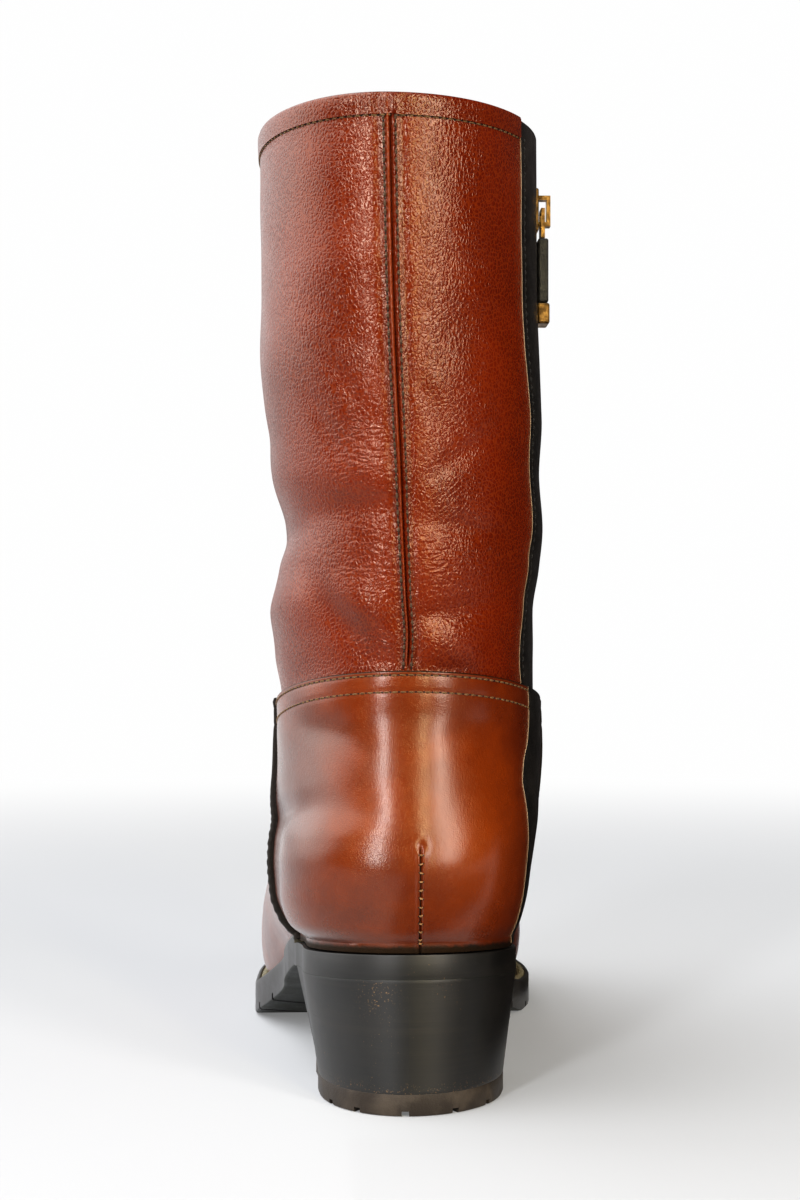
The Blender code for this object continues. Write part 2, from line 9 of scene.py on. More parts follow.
import bmesh
import bpy
import numpy as np
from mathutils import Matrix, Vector


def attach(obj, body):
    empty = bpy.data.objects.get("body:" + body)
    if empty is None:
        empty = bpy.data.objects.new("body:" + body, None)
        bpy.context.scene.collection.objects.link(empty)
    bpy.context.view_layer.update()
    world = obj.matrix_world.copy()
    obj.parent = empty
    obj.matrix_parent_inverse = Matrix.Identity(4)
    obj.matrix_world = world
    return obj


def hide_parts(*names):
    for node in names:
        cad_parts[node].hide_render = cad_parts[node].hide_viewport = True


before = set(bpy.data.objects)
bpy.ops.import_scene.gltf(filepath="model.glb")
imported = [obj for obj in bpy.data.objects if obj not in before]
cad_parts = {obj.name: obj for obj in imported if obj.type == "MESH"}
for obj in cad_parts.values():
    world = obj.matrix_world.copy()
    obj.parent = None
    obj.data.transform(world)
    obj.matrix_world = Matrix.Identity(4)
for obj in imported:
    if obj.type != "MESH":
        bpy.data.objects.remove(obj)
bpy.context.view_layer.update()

MM = 0.001
WELD = 1e-6
SHIFT = np.array((-2.10517, -130.51875, 0.0))    # from the heel's back to the middle of the boot's box

# Sizes shared with the part
GAP = 0.35
CURVED_GAP = 0.6
LAST_LENGTH = 262.5
BALL_WIDTH = 98.5
INSTEP_HEIGHT = 76.0
COUNTER_HEIGHT = 83.5
WALL = 2.2
COUNTER_THICK = 1.8
WELT_THICK = 3.0
END_POWER = 2.2

# Sole in side view: distance from the heel's back, height of the sole's under side, thickness
SOLE_COLUMNS = ("y", "bottom", "thick")
SOLE = (
    (-5.0, 40.4, 7.5),
    (30.0, 37.3, 7.5),
    (62.0, 34.4, 7.6),
    (90.0, 25.6, 8.0),
    (120.0, 14.2, 8.4),
    (146.0, 4.6, 8.5),
    (164.0, 0.0, 8.5),
    (206.0, 0.0, 8.5),
    (240.0, 2.6, 8.2),
    (270.0, 9.0, 7.6),
)
EDGE_SHARE = (0.0, 0.22, 0.40, 0.68, 1.0)
EDGE_MARGIN = (3.3, 3.6, 4.6, 7.5, 7.0)

# Foot, a row for each level from the sole to the top of the back panel, with the part's columns
FOOT_COLUMNS = ("back_y", "back_up", "front_y", "front_up", "follow", "heel_l", "heel_m", "waist_l",
                "waist_m", "ball_l", "ball_m", "round_back", "round_front", "swing")
FOOT = (
    (6.0, 0.000, 0.983, 0.000, 1.00, 0.289, 0.323, 0.366, 0.256, 0.479, 0.444, 38.0, 74.0, 5.0),
    (6.0, 0.036, 0.983, 0.053, 1.00, 0.289, 0.323, 0.366, 0.256, 0.479, 0.444, 38.0, 74.0, 5.0),
    (3.6, 0.098, 0.995, 0.125, 0.95, 0.354, 0.343, 0.396, 0.304, 0.511, 0.470, 40.0, 73.0, 5.0),
    (0.9, 0.200, 1.000, 0.215, 0.85, 0.378, 0.362, 0.436, 0.330, 0.521, 0.479, 41.0, 72.0, 5.0),
    (0.0, 0.305, 0.990, 0.315, 0.70, 0.378, 0.373, 0.446, 0.359, 0.511, 0.466, 42.0, 72.0, 4.5),
    (0.8, 0.400, 0.957, 0.435, 0.50, 0.368, 0.387, 0.439, 0.384, 0.480, 0.434, 43.0, 76.0, 4.0),
    (3.0, 0.509, 0.890, 0.555, 0.35, 0.343, 0.403, 0.420, 0.409, 0.432, 0.394, 45.0, 82.0, 3.0),
    (5.6, 0.617, 0.785, 0.680, 0.20, 0.367, 0.410, 0.405, 0.421, 0.384, 0.359, 47.0, 87.0, 2.2),
    (7.8, 0.737, 0.680, 0.810, 0.10, 0.386, 0.415, 0.400, 0.429, 0.357, 0.352, 50.0, 86.0, 1.5),
    (9.0, 0.856, 0.598, 1.000, 0.00, 0.395, 0.418, 0.402, 0.433, 0.355, 0.363, 52.0, 78.0, 1.0),
    (9.0, 1.000, 0.549, 1.200, 0.00, 0.386, 0.418, 0.394, 0.431, 0.370, 0.384, 55.0, 72.0, 0.5),
)
STATIONS = {"l": (0.13, 0.38, 0.63), "m": (0.13, 0.42, 0.71)}

# Shaft, a row for each fold, with the part's columns
SHAFT_COLUMNS = ("height", "rise", "back_y", "front_y", "lateral", "medial", "lean")
SHAFT = (
    (141.0, -12.0, 8.0, 136.0, 0.419, 0.434, 0.3),
    (152.0, -6.0, 6.8, 131.0, 0.421, 0.437, -0.4),
    (164.0, -1.0, 5.6, 128.5, 0.392, 0.463, -1.0),
    (177.0, 1.0, 4.6, 126.5, 0.366, 0.479, -1.6),
    (192.0, 1.0, 3.2, 125.0, 0.405, 0.472, -2.2),
    (211.0, 1.0, 1.4, 123.5, 0.412, 0.489, -3.2),
    (228.0, 1.0, 0.0, 122.5, 0.422, 0.489, -4.0),
    (250.0, 2.0, -1.5, 122.0, 0.409, 0.487, -4.8),
    (275.0, 3.0, -3.0, 121.5, 0.405, 0.491, -5.4),
    (298.0, 4.0, -4.0, 121.5, 0.403, 0.494, -5.9),
)
COUNTER_TOP = len(FOOT) - 1
COLLAR = len(FOOT) + len(SHAFT) - 1
COUNTER_EDGE_LEVEL = (0.0, 3.0, 6.0, 10.0)
COUNTER_EDGE_Y = (65.0, 67.0, 64.5, 67.0)

# Heel and sole edges
BREAST_TOP_Y = 62.0
BREAST_BOTTOM_Y = 57.0
HEEL_TAPER = {"back": -2.0, "l": 5.6, "m": 5.0}
TOP_LIFT_THICK = 6.5
GROOVE_FIRST_Y = 150.0
GROOVE_STEP = 22.0
GROOVE_COUNT = 5
GROOVE_WIDTH = 2.4
GROOVE_DEPTH = 2.6
GROOVE_SWEEP = 0.5
GROOVE_REACH = 62.0

# Zip
ZIP_TURN = 1.5 * math.pi
ZIP_BOTTOM = 10.35
ZIP_LAP = 0.12
SLOT_HALF = 4.5
CHAIN_TOP = 18.82

# Fine seams and threads
THREAD = 0.30            # radius
STITCH = 2.5             # from hole to hole
STITCH_INSET = 0.1       # a stitch's ends from its holes, as a share of its length
STITCH_RISE = 0.55       # a stitch's arch as a share of its radius
NEEDLE_HOLE = 0.3        # radius
SEWN_LIFT = 0.02         # stitch rows over the back panel's face
SHAFT_START = 9.99       # level where the vamp ends and the shaft begins
LEVEL_HEIGHT = 12.0      # millimetres from level to level near the back panel's top
BACK_TURN = 0.6          # turns from the back that belong to the back seam
BACK_Y = 30.0            # end of the back panel's middle part, where the dart is
COUNTER_ROWS = (0.11, 0.52)      # stitch rows below the back panel's top edge, in levels
SEAM_TURN = 0.15         # turns beside the back seam that get fine columns
SEAM_RIDGES = (0.72, -0.95)      # the two ridges' middles from the seam's, lateral side first
SEAM_THREADS = (1.95, -1.5)      # the two stitch rows from the seam's middle
DART_TOP = 79.0          # height of the heel dart's upper end
DART_X = 3.2             # the dart from the boot's middle plane
FACING_HALF = 14.0       # zip's facing in front of the zip's middle
FACING_THICK = 0.55
SHADE_PANEL_THICK = 0.5
CHANNEL_DEPTH = 0.5      # the welt's channel below its top face

# Back border of the black zip facing: level and turn from the zip
FACING_LEVEL = (10.0, 10.3, 11.2, 11.8, 12.7, 13.8, 15.0, 15.8, 16.5, 17.2, 20.0)
FACING_TURN = (0.640, 0.634, 0.616, 0.583, 0.550, 0.536, 0.530, 0.546, 0.571, 0.602, 0.615)

# Back border of the black sheet below it, on the back panel's medial end, which is painted shade for that end
SHADE_PANEL_LEVEL = (0.3, 3.5, 5.0, 5.8, 6.9, 7.7, 8.6, 9.5, 9.97)
SHADE_PANEL_TURN = (0.920, 0.932, 0.938, 0.948, 0.938, 0.872, 0.752, 0.668, 0.645)


def smooth_curve(places, values, at):
    """Smooth curve through a table's values that doesn't swing past them."""
    places = np.asarray(places, float)
    values = np.asarray(values, float)
    step = np.diff(places)
    slope = np.diff(values) / step
    tangent = np.concatenate((slope[:1], np.zeros(len(slope) - 1), slope[-1:]))
    for knot in range(1, len(slope)):
        before, after = slope[knot - 1], slope[knot]
        if before * after > 0:
            near = step[knot - 1] + 2 * step[knot]
            far = 2 * step[knot - 1] + step[knot]
            tangent[knot] = (near + far) / (near / before + far / after)
    at = np.clip(np.asarray(at, float), places[0], places[-1])
    cell = np.clip(np.searchsorted(places, at, side="right") - 1, 0, len(step) - 1)
    share = (at - places[cell]) / step[cell]
    rest = 1 - share
    start = values[cell] * (1 + 2 * share) + tangent[cell] * step[cell] * share
    end = values[cell + 1] * (1 + 2 * rest) - tangent[cell + 1] * step[cell] * rest
    return start * rest ** 2 + end * share ** 2


def table_column(rows, columns, name):
    """Values of one named column."""
    place = columns.index(name)
    return np.array([row[place] for row in rows])


def sole_bottom(y):
    """Height of the sole's under side."""
    places = table_column(SOLE, SOLE_COLUMNS, "y")
    return smooth_curve(places, table_column(SOLE, SOLE_COLUMNS, "bottom"), y)


def sole_top(y):
    """Height of the face that upper, welt and insole stand on."""
    places = table_column(SOLE, SOLE_COLUMNS, "y")
    return sole_bottom(y) + smooth_curve(places, table_column(SOLE, SOLE_COLUMNS, "thick"), y)


def level_table():
    """All levels from sole to collar in millimetres, as a dictionary of columns."""
    foot = {name: table_column(FOOT, FOOT_COLUMNS, name) for name in FOOT_COLUMNS}
    shaft = {name: table_column(SHAFT, SHAFT_COLUMNS, name) for name in SHAFT_COLUMNS}
    none = np.zeros(len(SHAFT))
    depth = shaft["front_y"] - shaft["back_y"]
    foot_front = foot["front_y"] * LAST_LENGTH
    foot_back_z = sole_top(foot["back_y"]) + CURVED_GAP + foot["back_up"] * COUNTER_HEIGHT
    foot_front_z = sole_top(foot_front) + CURVED_GAP + foot["front_up"] * INSTEP_HEIGHT
    joined = {
        "back_y": (foot["back_y"], shaft["back_y"]),
        "back_z": (foot_back_z, shaft["height"]),
        "front_y": (foot_front, shaft["front_y"]),
        "front_z": (foot_front_z, shaft["height"] + shaft["rise"]),
        "follow": (foot["follow"], none),
        "round_back": (foot["round_back"], depth / 2),
        "round_front": (foot["round_front"], depth / 2),
        "swing": (foot["swing"], none),
        "lean": (np.zeros(len(FOOT)), shaft["lean"]),
    }
    for station in ("heel", "waist", "ball"):
        joined[station + "_l"] = (foot[station + "_l"] * BALL_WIDTH, shaft["lateral"] * BALL_WIDTH)
        joined[station + "_m"] = (foot[station + "_m"] * BALL_WIDTH, shaft["medial"] * BALL_WIDTH)
    return {name: np.concatenate(parts) for name, parts in joined.items()}


LEVELS = level_table()


def at_level(name, level):
    """One column of the level table between its rows."""
    return smooth_curve(np.arange(COLLAR + 1), LEVELS[name], level)


def ease(share):
    """Runs from 0 to 1 with level ends."""
    share = np.clip(share, 0.0, 1.0)
    return share * share * (3 - 2 * share)


def half_width(level, share, side):
    """Half width of a level at a share of its length, on side l or m."""
    heel, waist, ball = (at_level(station + side, level) for station in ("heel_", "waist_", "ball_"))
    at_heel, at_waist, at_ball = STATIONS[side]
    to_waist = ease((share - at_heel) / (at_waist - at_heel))
    to_ball = ease((share - at_waist) / (at_ball - at_waist))
    return heel + (waist - heel) * to_waist + (ball - waist) * to_ball


def rounded_end(distance, length):
    """Width's share near an end that is rounded over a length."""
    inside = 1 - np.clip(distance / length, 0.0, 1.0)
    return np.sqrt(np.maximum(1 - inside ** END_POWER, 0.0))


def skin(level, turn):
    """Outer face of the upper. The turn runs from the back by the lateral side to the front (pi) and on."""
    level, turn = np.broadcast_arrays(np.asarray(level, float), np.asarray(turn, float))
    share = (1 - np.cos(turn)) / 2
    back_y = at_level("back_y", level)
    front_y = at_level("front_y", level)
    length = front_y - back_y
    y = back_y + length * share
    ends = rounded_end(length * share, at_level("round_back", level))
    ends = ends * rounded_end(length * (1 - share), at_level("round_front", level))
    lateral = np.sin(turn) >= 0
    side = np.where(lateral, -half_width(level, share, "l"), half_width(level, share, "m"))
    x = at_level("lean", level) + at_level("swing", level) * ease(share) + side * ends
    follow = at_level("follow", level)
    back_rest = at_level("back_z", level) - follow * sole_top(back_y)
    front_rest = at_level("front_z", level) - follow * sole_top(front_y)
    z = follow * sole_top(y) + back_rest + (front_rest - back_rest) * share
    return np.stack((x, y, z), axis=-1)


def skin_normal(level, turn):
    """Outward direction of the upper's outer face."""
    level, turn = np.broadcast_arrays(np.asarray(level, float), np.asarray(turn, float))
    small = 0.001
    lower = np.clip(level - small, 0, COLLAR)
    upper = np.clip(level + small, 0, COLLAR)
    along = skin(level, turn + small) - skin(level, turn - small)
    up = skin(upper, turn) - skin(lower, turn)
    normal = np.cross(up, along)
    return normal / np.linalg.norm(normal, axis=-1, keepdims=True)


def form(level, turn, out):
    """The upper's outer face moved outwards by a distance, or inwards where it is negative."""
    return skin(level, turn) + np.asarray(out, float)[..., None] * skin_normal(level, turn)


def turn_at(level, y):
    """Turn on the lateral side where a level passes a distance from the heel's back."""
    back_y = at_level("back_y", level)
    share = (y - back_y) / (at_level("front_y", level) - back_y)
    return np.arccos(1 - 2 * share)


def outline(turn, margin):
    """Plan outline of the upper at the sole, moved outwards by a margin: x and y."""
    small = 0.001
    along = (skin(0, turn + small) - skin(0, turn - small))[..., :2]
    along /= np.linalg.norm(along, axis=-1, keepdims=True)
    outward = np.stack((-along[..., 1], along[..., 0]), axis=-1)
    return skin(0, turn)[..., :2] + np.asarray(margin)[..., None] * outward


def sole_margin(turn):
    """Sole's edge beyond the upper."""
    return smooth_curve(EDGE_SHARE, EDGE_MARGIN, (1 - np.cos(turn)) / 2)


def bell(distance, width):
    """Soft bump of height 1."""
    return np.exp(-(distance / width) ** 2)


def signed_turn(turn):
    """Turn from the back between minus pi (medial) and pi (lateral)."""
    return (np.asarray(turn) + math.pi) % (2 * math.pi) - math.pi


# Soft folds of the shaft: turn from the back in degrees (lateral is positive), height,
# half length, half width, depth (a ridge is positive, a trough negative), and slant in degrees
FOLD_COLUMNS = ("turn", "height", "length", "width", "depth", "slant")
FOLDS = (
    (16, 189, 12, 8, 1.0, 10),
    (13, 180, 17, 4, -0.9, -4),
    (17, 150, 10, 6, 1.5, 55),
    (29, 147, 15, 4.5, -1.6, 45),
    (-18, 138, 10, 7, 1.4, 0),
    (-17, 148, 15, 3, -1.0, -10),
    (-12, 163, 12, 9, 0.8, 0),
    (-16, 174, 17, 4, -0.9, 6),
    (-22, 195, 13, 2.4, -0.6, -35),
    (-12, 207, 12, 2.2, -0.5, 65),
    (-19, 204, 11, 2.2, -0.4, 60),
    (21, 216, 15, 2.6, -0.5, 59),
    (33, 205, 16, 3.0, -0.6, 63),
    (27, 236, 16, 5.0, -0.5, 40),
    (-26, 232, 18, 6.0, -0.5, -30),
    (20, 252, 14, 8.0, 0.5, 0),
    (-22, 262, 16, 9.0, 0.5, 10),
    (80, 172, 24, 5, -1.0, -8),
    (85, 205, 22, 6, -0.7, 12),
    (100, 150, 24, 6, 0.8, 5),
    (110, 186, 20, 5, -0.7, -12),
    (132, 165, 20, 5, -0.8, 10),
    (180, 121, 30, 3.0, -1.0, 0),
    (180, 131, 26, 4.0, 0.9, 0),
    (172, 142, 28, 3.2, -1.1, 7),
    (186, 160, 30, 4.0, -0.9, -6),
    (180, 178, 30, 6.0, 0.9, 0),
    (176, 197, 28, 4.0, -0.8, 4),
    (150, 216, 22, 6.0, -0.7, 15),
    (203, 236, 24, 7.0, -0.6, -10),
    (165, 256, 22, 7.0, -0.4, 8),
    (-55, 168, 16, 4.0, -0.6, 12),
    (-52, 150, 14, 6.0, 0.6, 0),
    (-128, 172, 22, 5.0, -0.9, -8),
    (-135, 152, 22, 5.0, 0.8, 5),
    (-122, 208, 20, 6.0, -0.6, 10),
)
AROUND = 43.0            # millimetres per radian round the shaft

# Where fine horizontal wrinkles show: turn, height, half length, half width
WRINKLE_COLUMNS = ("turn", "height", "length", "width")
WRINKLES = (
    (17, 163, 10, 11),
    (-14, 165, 9, 10),
    (-22, 147, 9, 5),
    (15, 140, 9, 4),
    (18, 198, 12, 16),
    (180, 140, 34, 24),
    (95, 170, 26, 14),
    (-125, 170, 20, 14),
)

# Creases over the vamp where the foot bends: distance from the heel's back, half length, half width, depth
FLEX_COLUMNS = ("y", "length", "width", "depth")
FLEX = (
    (160, 24, 2.6, -0.5),
    (168, 30, 3.2, 0.5),
    (176, 34, 2.4, -0.7),
    (185, 34, 3.4, 0.5),
    (194, 30, 2.4, -0.5),
)


def rows_of(rows, columns):
    """Rows of a table as dictionaries."""
    return [dict(zip(columns, row)) for row in rows]


def turned(beside, above, slant_deg):
    """Distances along and across a line that slants by an angle."""
    lean = math.radians(slant_deg)
    along = beside * math.cos(lean) + above * math.sin(lean)
    return along, above * math.cos(lean) - beside * math.sin(lean)


def fold_places(turn, z, row, slant_deg=0.0):
    """Distances along and across a fold's line on the shaft."""
    beside = signed_turn(turn - math.radians(row["turn"])) * AROUND
    return turned(beside, z - row["height"], slant_deg)


def seam_offset(level, turn):
    """Distance from the back seam's middle, positive to the lateral side, and the seam's width as a share."""
    place = skin(level, turn)
    width = 0.68 + 0.32 * ease((place[..., 2] - 135.0) / 110.0)
    return at_level("lean", level) - place[..., 0], width


def upper_relief(level, turn):
    """How far the upper's face stands out: folds, the back seam's ridges and the vamp's lapped top edge."""
    level, turn = np.broadcast_arrays(np.asarray(level, float), np.asarray(turn, float))
    place = skin(level, turn)
    x, y, z = np.moveaxis(place, -1, 0)
    shaft = ease((level - 10.0) / 0.4)
    folds = np.zeros(level.shape)
    for row in rows_of(FOLDS, FOLD_COLUMNS):
        along, across = fold_places(turn, z, row, row["slant"])
        folds += row["depth"] * bell(along, row["length"]) * bell(across, row["width"])
    around = signed_turn(turn)
    lumps = np.sin(3.1 * around + z / 9.0 + 0.4) * np.sin(z / 13.0 - 2.3 * around)
    lumps += 0.6 * np.sin(5.3 * around - z / 6.5 + 1.7) * np.sin(z / 8.0 + 1.1)
    folds += 0.14 * lumps
    still = 1 - bell(signed_turn(turn - ZIP_TURN) * AROUND, FACING_HALF + 6.0)
    still = still * (1 - ease((z - 284.0) / 12.0))
    relief = shaft * folds * still
    offset, width = seam_offset(level, turn)
    beside = np.abs(offset) / width
    at_back = shaft * (np.abs(around) < BACK_TURN)
    pucker = 1 + 0.16 * np.cos(2 * math.pi * z / STITCH)
    ridges = pucker * (1.0 * bell(offset / width - SEAM_RIDGES[0], 0.45)
                       + 0.65 * bell(offset / width - SEAM_RIDGES[1], 0.5)) - 0.4 * bell(offset, 0.17)
    ridges -= 0.3 * bell(beside - 3.6, 1.1)
    relief = relief * (1 - at_back * bell(offset, 3.0)) + at_back * ridges
    foot = 1 - shaft
    flex = np.zeros(level.shape)
    for row in rows_of(FLEX, FLEX_COLUMNS):
        flex += row["depth"] * bell(y - row["y"] - 0.006 * x ** 2, row["width"]) * bell(x, row["length"])
    relief += foot * flex * ease((z - sole_top(y) - 14.0) / 16.0)
    edge = turn_at(np.minimum(level, COUNTER_TOP), counter_edge_y(np.minimum(level, COUNTER_TOP)))
    ahead = ease((np.abs(around) - edge - 0.02) / 0.04)
    relief += ahead * 0.75 * (1 - ease((level - 9.94) / 0.06))
    return relief


def upper_face(level, turn, out=0.0):
    """The upper's outer face with its relief, moved outwards by a distance."""
    return form(level, turn, upper_relief(level, turn) + out)


def counter_edge_y(level):
    """Back panel's front edge, from the heel's back."""
    return smooth_curve(COUNTER_EDGE_LEVEL, COUNTER_EDGE_Y, level)


# Soft hollows and swells of the back panel: x, height, half length, half width, depth, slant in degrees
DENT_COLUMNS = ("x", "height", "length", "width", "depth", "slant")
DENTS = (
    (-24, 113, 12, 5, -0.8, -18),
    (-21, 101, 16, 8, 0.25, -12),
    (-9, 84, 9, 12, -0.2, 0),
    (12, 84, 9, 14, -0.4, 0),
    (0, 68, 26, 10, 0.4, 0),
    (16, 112, 12, 4, -0.35, 15),
    (-40, 106, 16, 13, -1.6, 0),
    (-42, 82, 16, 9, 0.3, 0),
    (-42, 62, 14, 16, -0.8, 0),
    (-22, 110, 10, 15, -0.25, 0),
    (22, 110, 10, 15, -0.45, 0),
    (-24, 78, 11, 12, 0.65, 0),
    (24, 78, 11, 12, 0.8, 0),
)


def counter_relief(level, turn):
    """Hollows of the back panel and its sewn heel dart."""
    place = skin(level, turn)
    x, y, z = np.moveaxis(place, -1, 0)
    relief = np.zeros(x.shape)
    for row in rows_of(DENTS, DENT_COLUMNS):
        along, across = turned(x - row["x"], z - row["height"], row["slant"])
        relief += row["depth"] * bell(along, row["length"]) * bell(across, row["width"])
    for drop in COUNTER_ROWS:
        relief -= 0.16 * bell((level - COUNTER_TOP + drop) * LEVEL_HEIGHT, 0.55)
    at_back = y < BACK_Y
    beside = x - DART_X
    below = 1 - ease((z - DART_TOP + 2.0) / 3.0)
    dart = 0.16 * bell(np.abs(beside) - 0.9, 0.6) - 0.6 * bell(beside, 0.26)
    relief += at_back * below * dart
    pucker = np.hypot(beside, (z - DART_TOP) * 0.7)
    relief += at_back * (0.14 * bell(pucker - 1.9, 0.8) - 0.2 * bell(pucker, 0.9))
    return relief


def counter_face(level, turn, out=0.0):
    """The back panel's outer face, moved outwards by a distance."""
    return form(level, turn, CURVED_GAP + COUNTER_THICK + counter_relief(level, turn) + out)


def add_mesh_only(name, points, faces):
    """One mesh object from points in millimetres."""
    mesh = bpy.data.meshes.new(name)
    places = (np.asarray(points).reshape(-1, 3) + SHIFT) * MM
    mesh.from_pydata(places.tolist(), [], [tuple(face) for face in faces])
    piece = bpy.data.objects.new(name, mesh)
    bpy.context.scene.collection.objects.link(piece)
    return piece


def smooth(piece, face_slots, sharp_deg):
    """Sets the faces' materials and smooth shading, with edges sharp from an angle."""
    if face_slots is not None:
        piece.data.polygons.foreach_set("material_index", np.asarray(face_slots, np.int32))
    piece.data.shade_smooth()
    piece.data.set_sharp_from_angle(angle=math.radians(sharp_deg))


def add_mesh(name, points, faces, materials, face_slots=None, sharp_deg=50.0):
    """One smooth mesh piece that rides on the boot."""
    piece = add_mesh_only(name, points, faces)
    for material in materials:
        piece.data.materials.append(material)
    smooth(piece, face_slots, sharp_deg)
    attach(piece, "boot")
    return piece


def even_normals(piece, weld=0.0):
    """Turns all faces of a closed piece outwards, and joins points nearer than a distance in metres."""
    shape = bmesh.new()
    shape.from_mesh(piece.data)
    if weld:
        bmesh.ops.remove_doubles(shape, verts=shape.verts, dist=weld)
    bmesh.ops.recalc_face_normals(shape, faces=shape.faces)
    shape.to_mesh(piece.data)
    shape.free()


def paint(piece, values):
    """Stores three masks per point, read by the materials as marks."""
    layer = piece.data.color_attributes.new("marks", "FLOAT_COLOR", "POINT")
    values = np.clip(np.asarray(values, np.float32).reshape(-1, 3), 0, 1)
    layer.data.foreach_set("color", np.column_stack((values, np.ones(len(values), np.float32))).ravel())


def grid_faces(rows, columns, closed, left_out=()):
    """Quads of a grid of points, without the cells left out. A closed grid's last column joins its first."""
    faces = []
    for row in range(rows - 1):
        for column in range(columns if closed else columns - 1):
            if (row, column) not in left_out:
                beside = (column + 1) % columns
                low, high = row * columns, (row + 1) * columns
                faces.append((low + column, high + column, high + beside, low + beside))
    return faces


def shell_faces(rows, columns, closed, left_out=()):
    """Faces of a plate between an outer and an inner grid, and how many of them are outer, inner and edge."""
    count = rows * columns
    cells = grid_faces(rows, columns, closed, left_out)
    uses = Counter()
    for cell in cells:
        for edge in zip(cell, cell[1:] + cell[:1]):
            uses[tuple(sorted(edge))] += 1
    inner = [tuple(number + count for number in reversed(cell)) for cell in cells]
    edges = []
    for cell in cells:
        for low, high in zip(cell, cell[1:] + cell[:1]):
            if uses[tuple(sorted((low, high)))] == 1:
                edges.append((high, low, low + count, high + count))
    return cells + inner + edges, (len(cells), len(inner), len(edges))


def add_plate(name, outer, inner, materials, left_out=(), sharp_deg=50.0):
    """Plate between an outer and an inner grid, with the second material on its edges."""
    faces, counts = shell_faces(*outer.shape[:2], False, left_out)
    slots = [0] * (counts[0] + counts[1]) + [1] * counts[2]
    return add_mesh(name, np.stack((outer, inner)), faces, materials, slots, sharp_deg)


def tube_faces(rows, columns):
    """Faces of a row of closed sections, with the two ends."""
    last = (rows - 1) * columns
    ends = [tuple(range(columns)), tuple(reversed(range(last, last + columns)))]
    return grid_faces(rows, columns, True) + ends


def repeated(faces, points, copies):
    """Faces of many like shapes with a number of points each."""
    return [tuple(number + points * copy for number in face) for copy in range(copies) for face in faces]


def joined(parts):
    """Several meshes as one, each given as points, faces and material number."""
    points, faces, slots = [], [], []
    count = 0
    for new_points, new_faces, slot in parts:
        points.append(new_points)
        faces += [tuple(number + count for number in face) for face in new_faces]
        slots += [slot] * len(new_faces)
        count += len(new_points)
    return np.concatenate(points), faces, slots


def add_sweep(name, sections, materials, face_slots=None):
    """Solid through a row of like closed sections."""
    piece = add_mesh(name, sections, tube_faces(*sections.shape[:2]), materials, face_slots)
    even_normals(piece)
    return piece


def along_path(points, step, start=0.0):
    """Places at even steps along a path, as fractional indices."""
    lengths = np.concatenate(((0.0,), np.cumsum(np.linalg.norm(np.diff(points, axis=0), axis=1))))
    count = max(int((lengths[-1] - start) / step), 1)
    return np.interp(start + step * np.arange(count + 1), lengths, np.arange(len(points)))


def pick(points, place):
    """Points of a path at fractional indices."""
    number = np.arange(len(points))
    return np.stack([np.interp(place, number, points[:, axis]) for axis in range(3)], axis=-1)


def unit(vectors):
    """Vectors of length 1."""
    return vectors / np.linalg.norm(vectors, axis=-1, keepdims=True)


def circles(first, second, angles):
    """Circles in the planes of two rows of directions."""
    return np.cos(angles)[None, :, None] * first[:, None] + np.sin(angles)[None, :, None] * second[:, None]


STITCH_SIDES = 7
STITCH_RINGS = np.array((0.0, 0.12, 0.32, 0.5, 0.68, 0.88, 1.0))


def stitch_mesh(starts, ends, normals, radius, rise):
    """Points and faces of rounded thread stitches between two rows of holes."""
    along = ends - starts
    side = unit(np.cross(along, normals))
    up = unit(np.cross(side, along))
    angles = 2 * math.pi * np.arange(STITCH_SIDES) / STITCH_SIDES
    rings = []
    for share in STITCH_RINGS:
        arch = math.sin(math.pi * share)
        centre = starts + along * share + up * (rise * arch - radius * 0.9 * (1 - arch))
        thick = radius * (0.45 + 0.55 * arch ** 0.5)
        rings.append(centre[:, None] + thick * circles(side, up, angles))
    points = np.stack(rings, axis=1)
    ring_faces = grid_faces(len(STITCH_RINGS), STITCH_SIDES, True)
    last = (len(STITCH_RINGS) - 1) * STITCH_SIDES
    ring_faces += [tuple(reversed(range(STITCH_SIDES))), tuple(range(last, last + STITCH_SIDES))]
    return points.reshape(-1, 3), repeated(ring_faces, len(STITCH_RINGS) * STITCH_SIDES, len(starts))


HOLE_SIDES = 8
HOLE_RINGS = ((1.0, 0.02), (0.75, 0.1), (0.3, 0.06))     # size as a share, and lift
HOLE_LENGTH = 1.25       # a hole's length as a share of its width


def hole_mesh(centres, normals, directions, radius):
    """Points and faces of needle holes, as small dark caps with a sunk middle, painted shade for the holes.
    """
    side = unit(np.cross(directions, normals))
    along = unit(np.cross(normals, side))
    angles = 2 * math.pi * np.arange(HOLE_SIDES) / HOLE_SIDES
    rims = []
    for size, lift in HOLE_RINGS:
        ring = circles(HOLE_LENGTH * along, side, angles)
        rims.append(centres[:, None] + radius * size * ring + lift * normals[:, None])
    points = np.stack(rims, axis=1)
    each = len(HOLE_RINGS) * HOLE_SIDES
    ring_faces = grid_faces(len(HOLE_RINGS), HOLE_SIDES, True) + [tuple(range(each - HOLE_SIDES, each))]
    return points.reshape(-1, 3), repeated(ring_faces, each, len(centres))


def add_stitch_rows(name, rows, thread, hole, radius=THREAD):
    """Stitch rows along paths, given as points and outward normals, with a dark hole at each stitch's end as
    painted shade.
    """
    parts = []
    for path, normals in rows:
        places = along_path(path, STITCH)
        spots, outward = pick(path, places), unit(pick(normals, places))
        inset = STITCH_INSET * np.diff(spots, axis=0)
        starts, ends = spots[:-1] + inset, spots[1:] - inset
        parts.append((*stitch_mesh(starts, ends, outward[:-1], radius, radius * STITCH_RISE), 0))
        parts.append((*hole_mesh(spots, outward, np.gradient(spots, axis=0), NEEDLE_HOLE), 1))
    points, faces, slots = joined(parts)
    return add_mesh(name, points, faces, [thread, hole], slots)


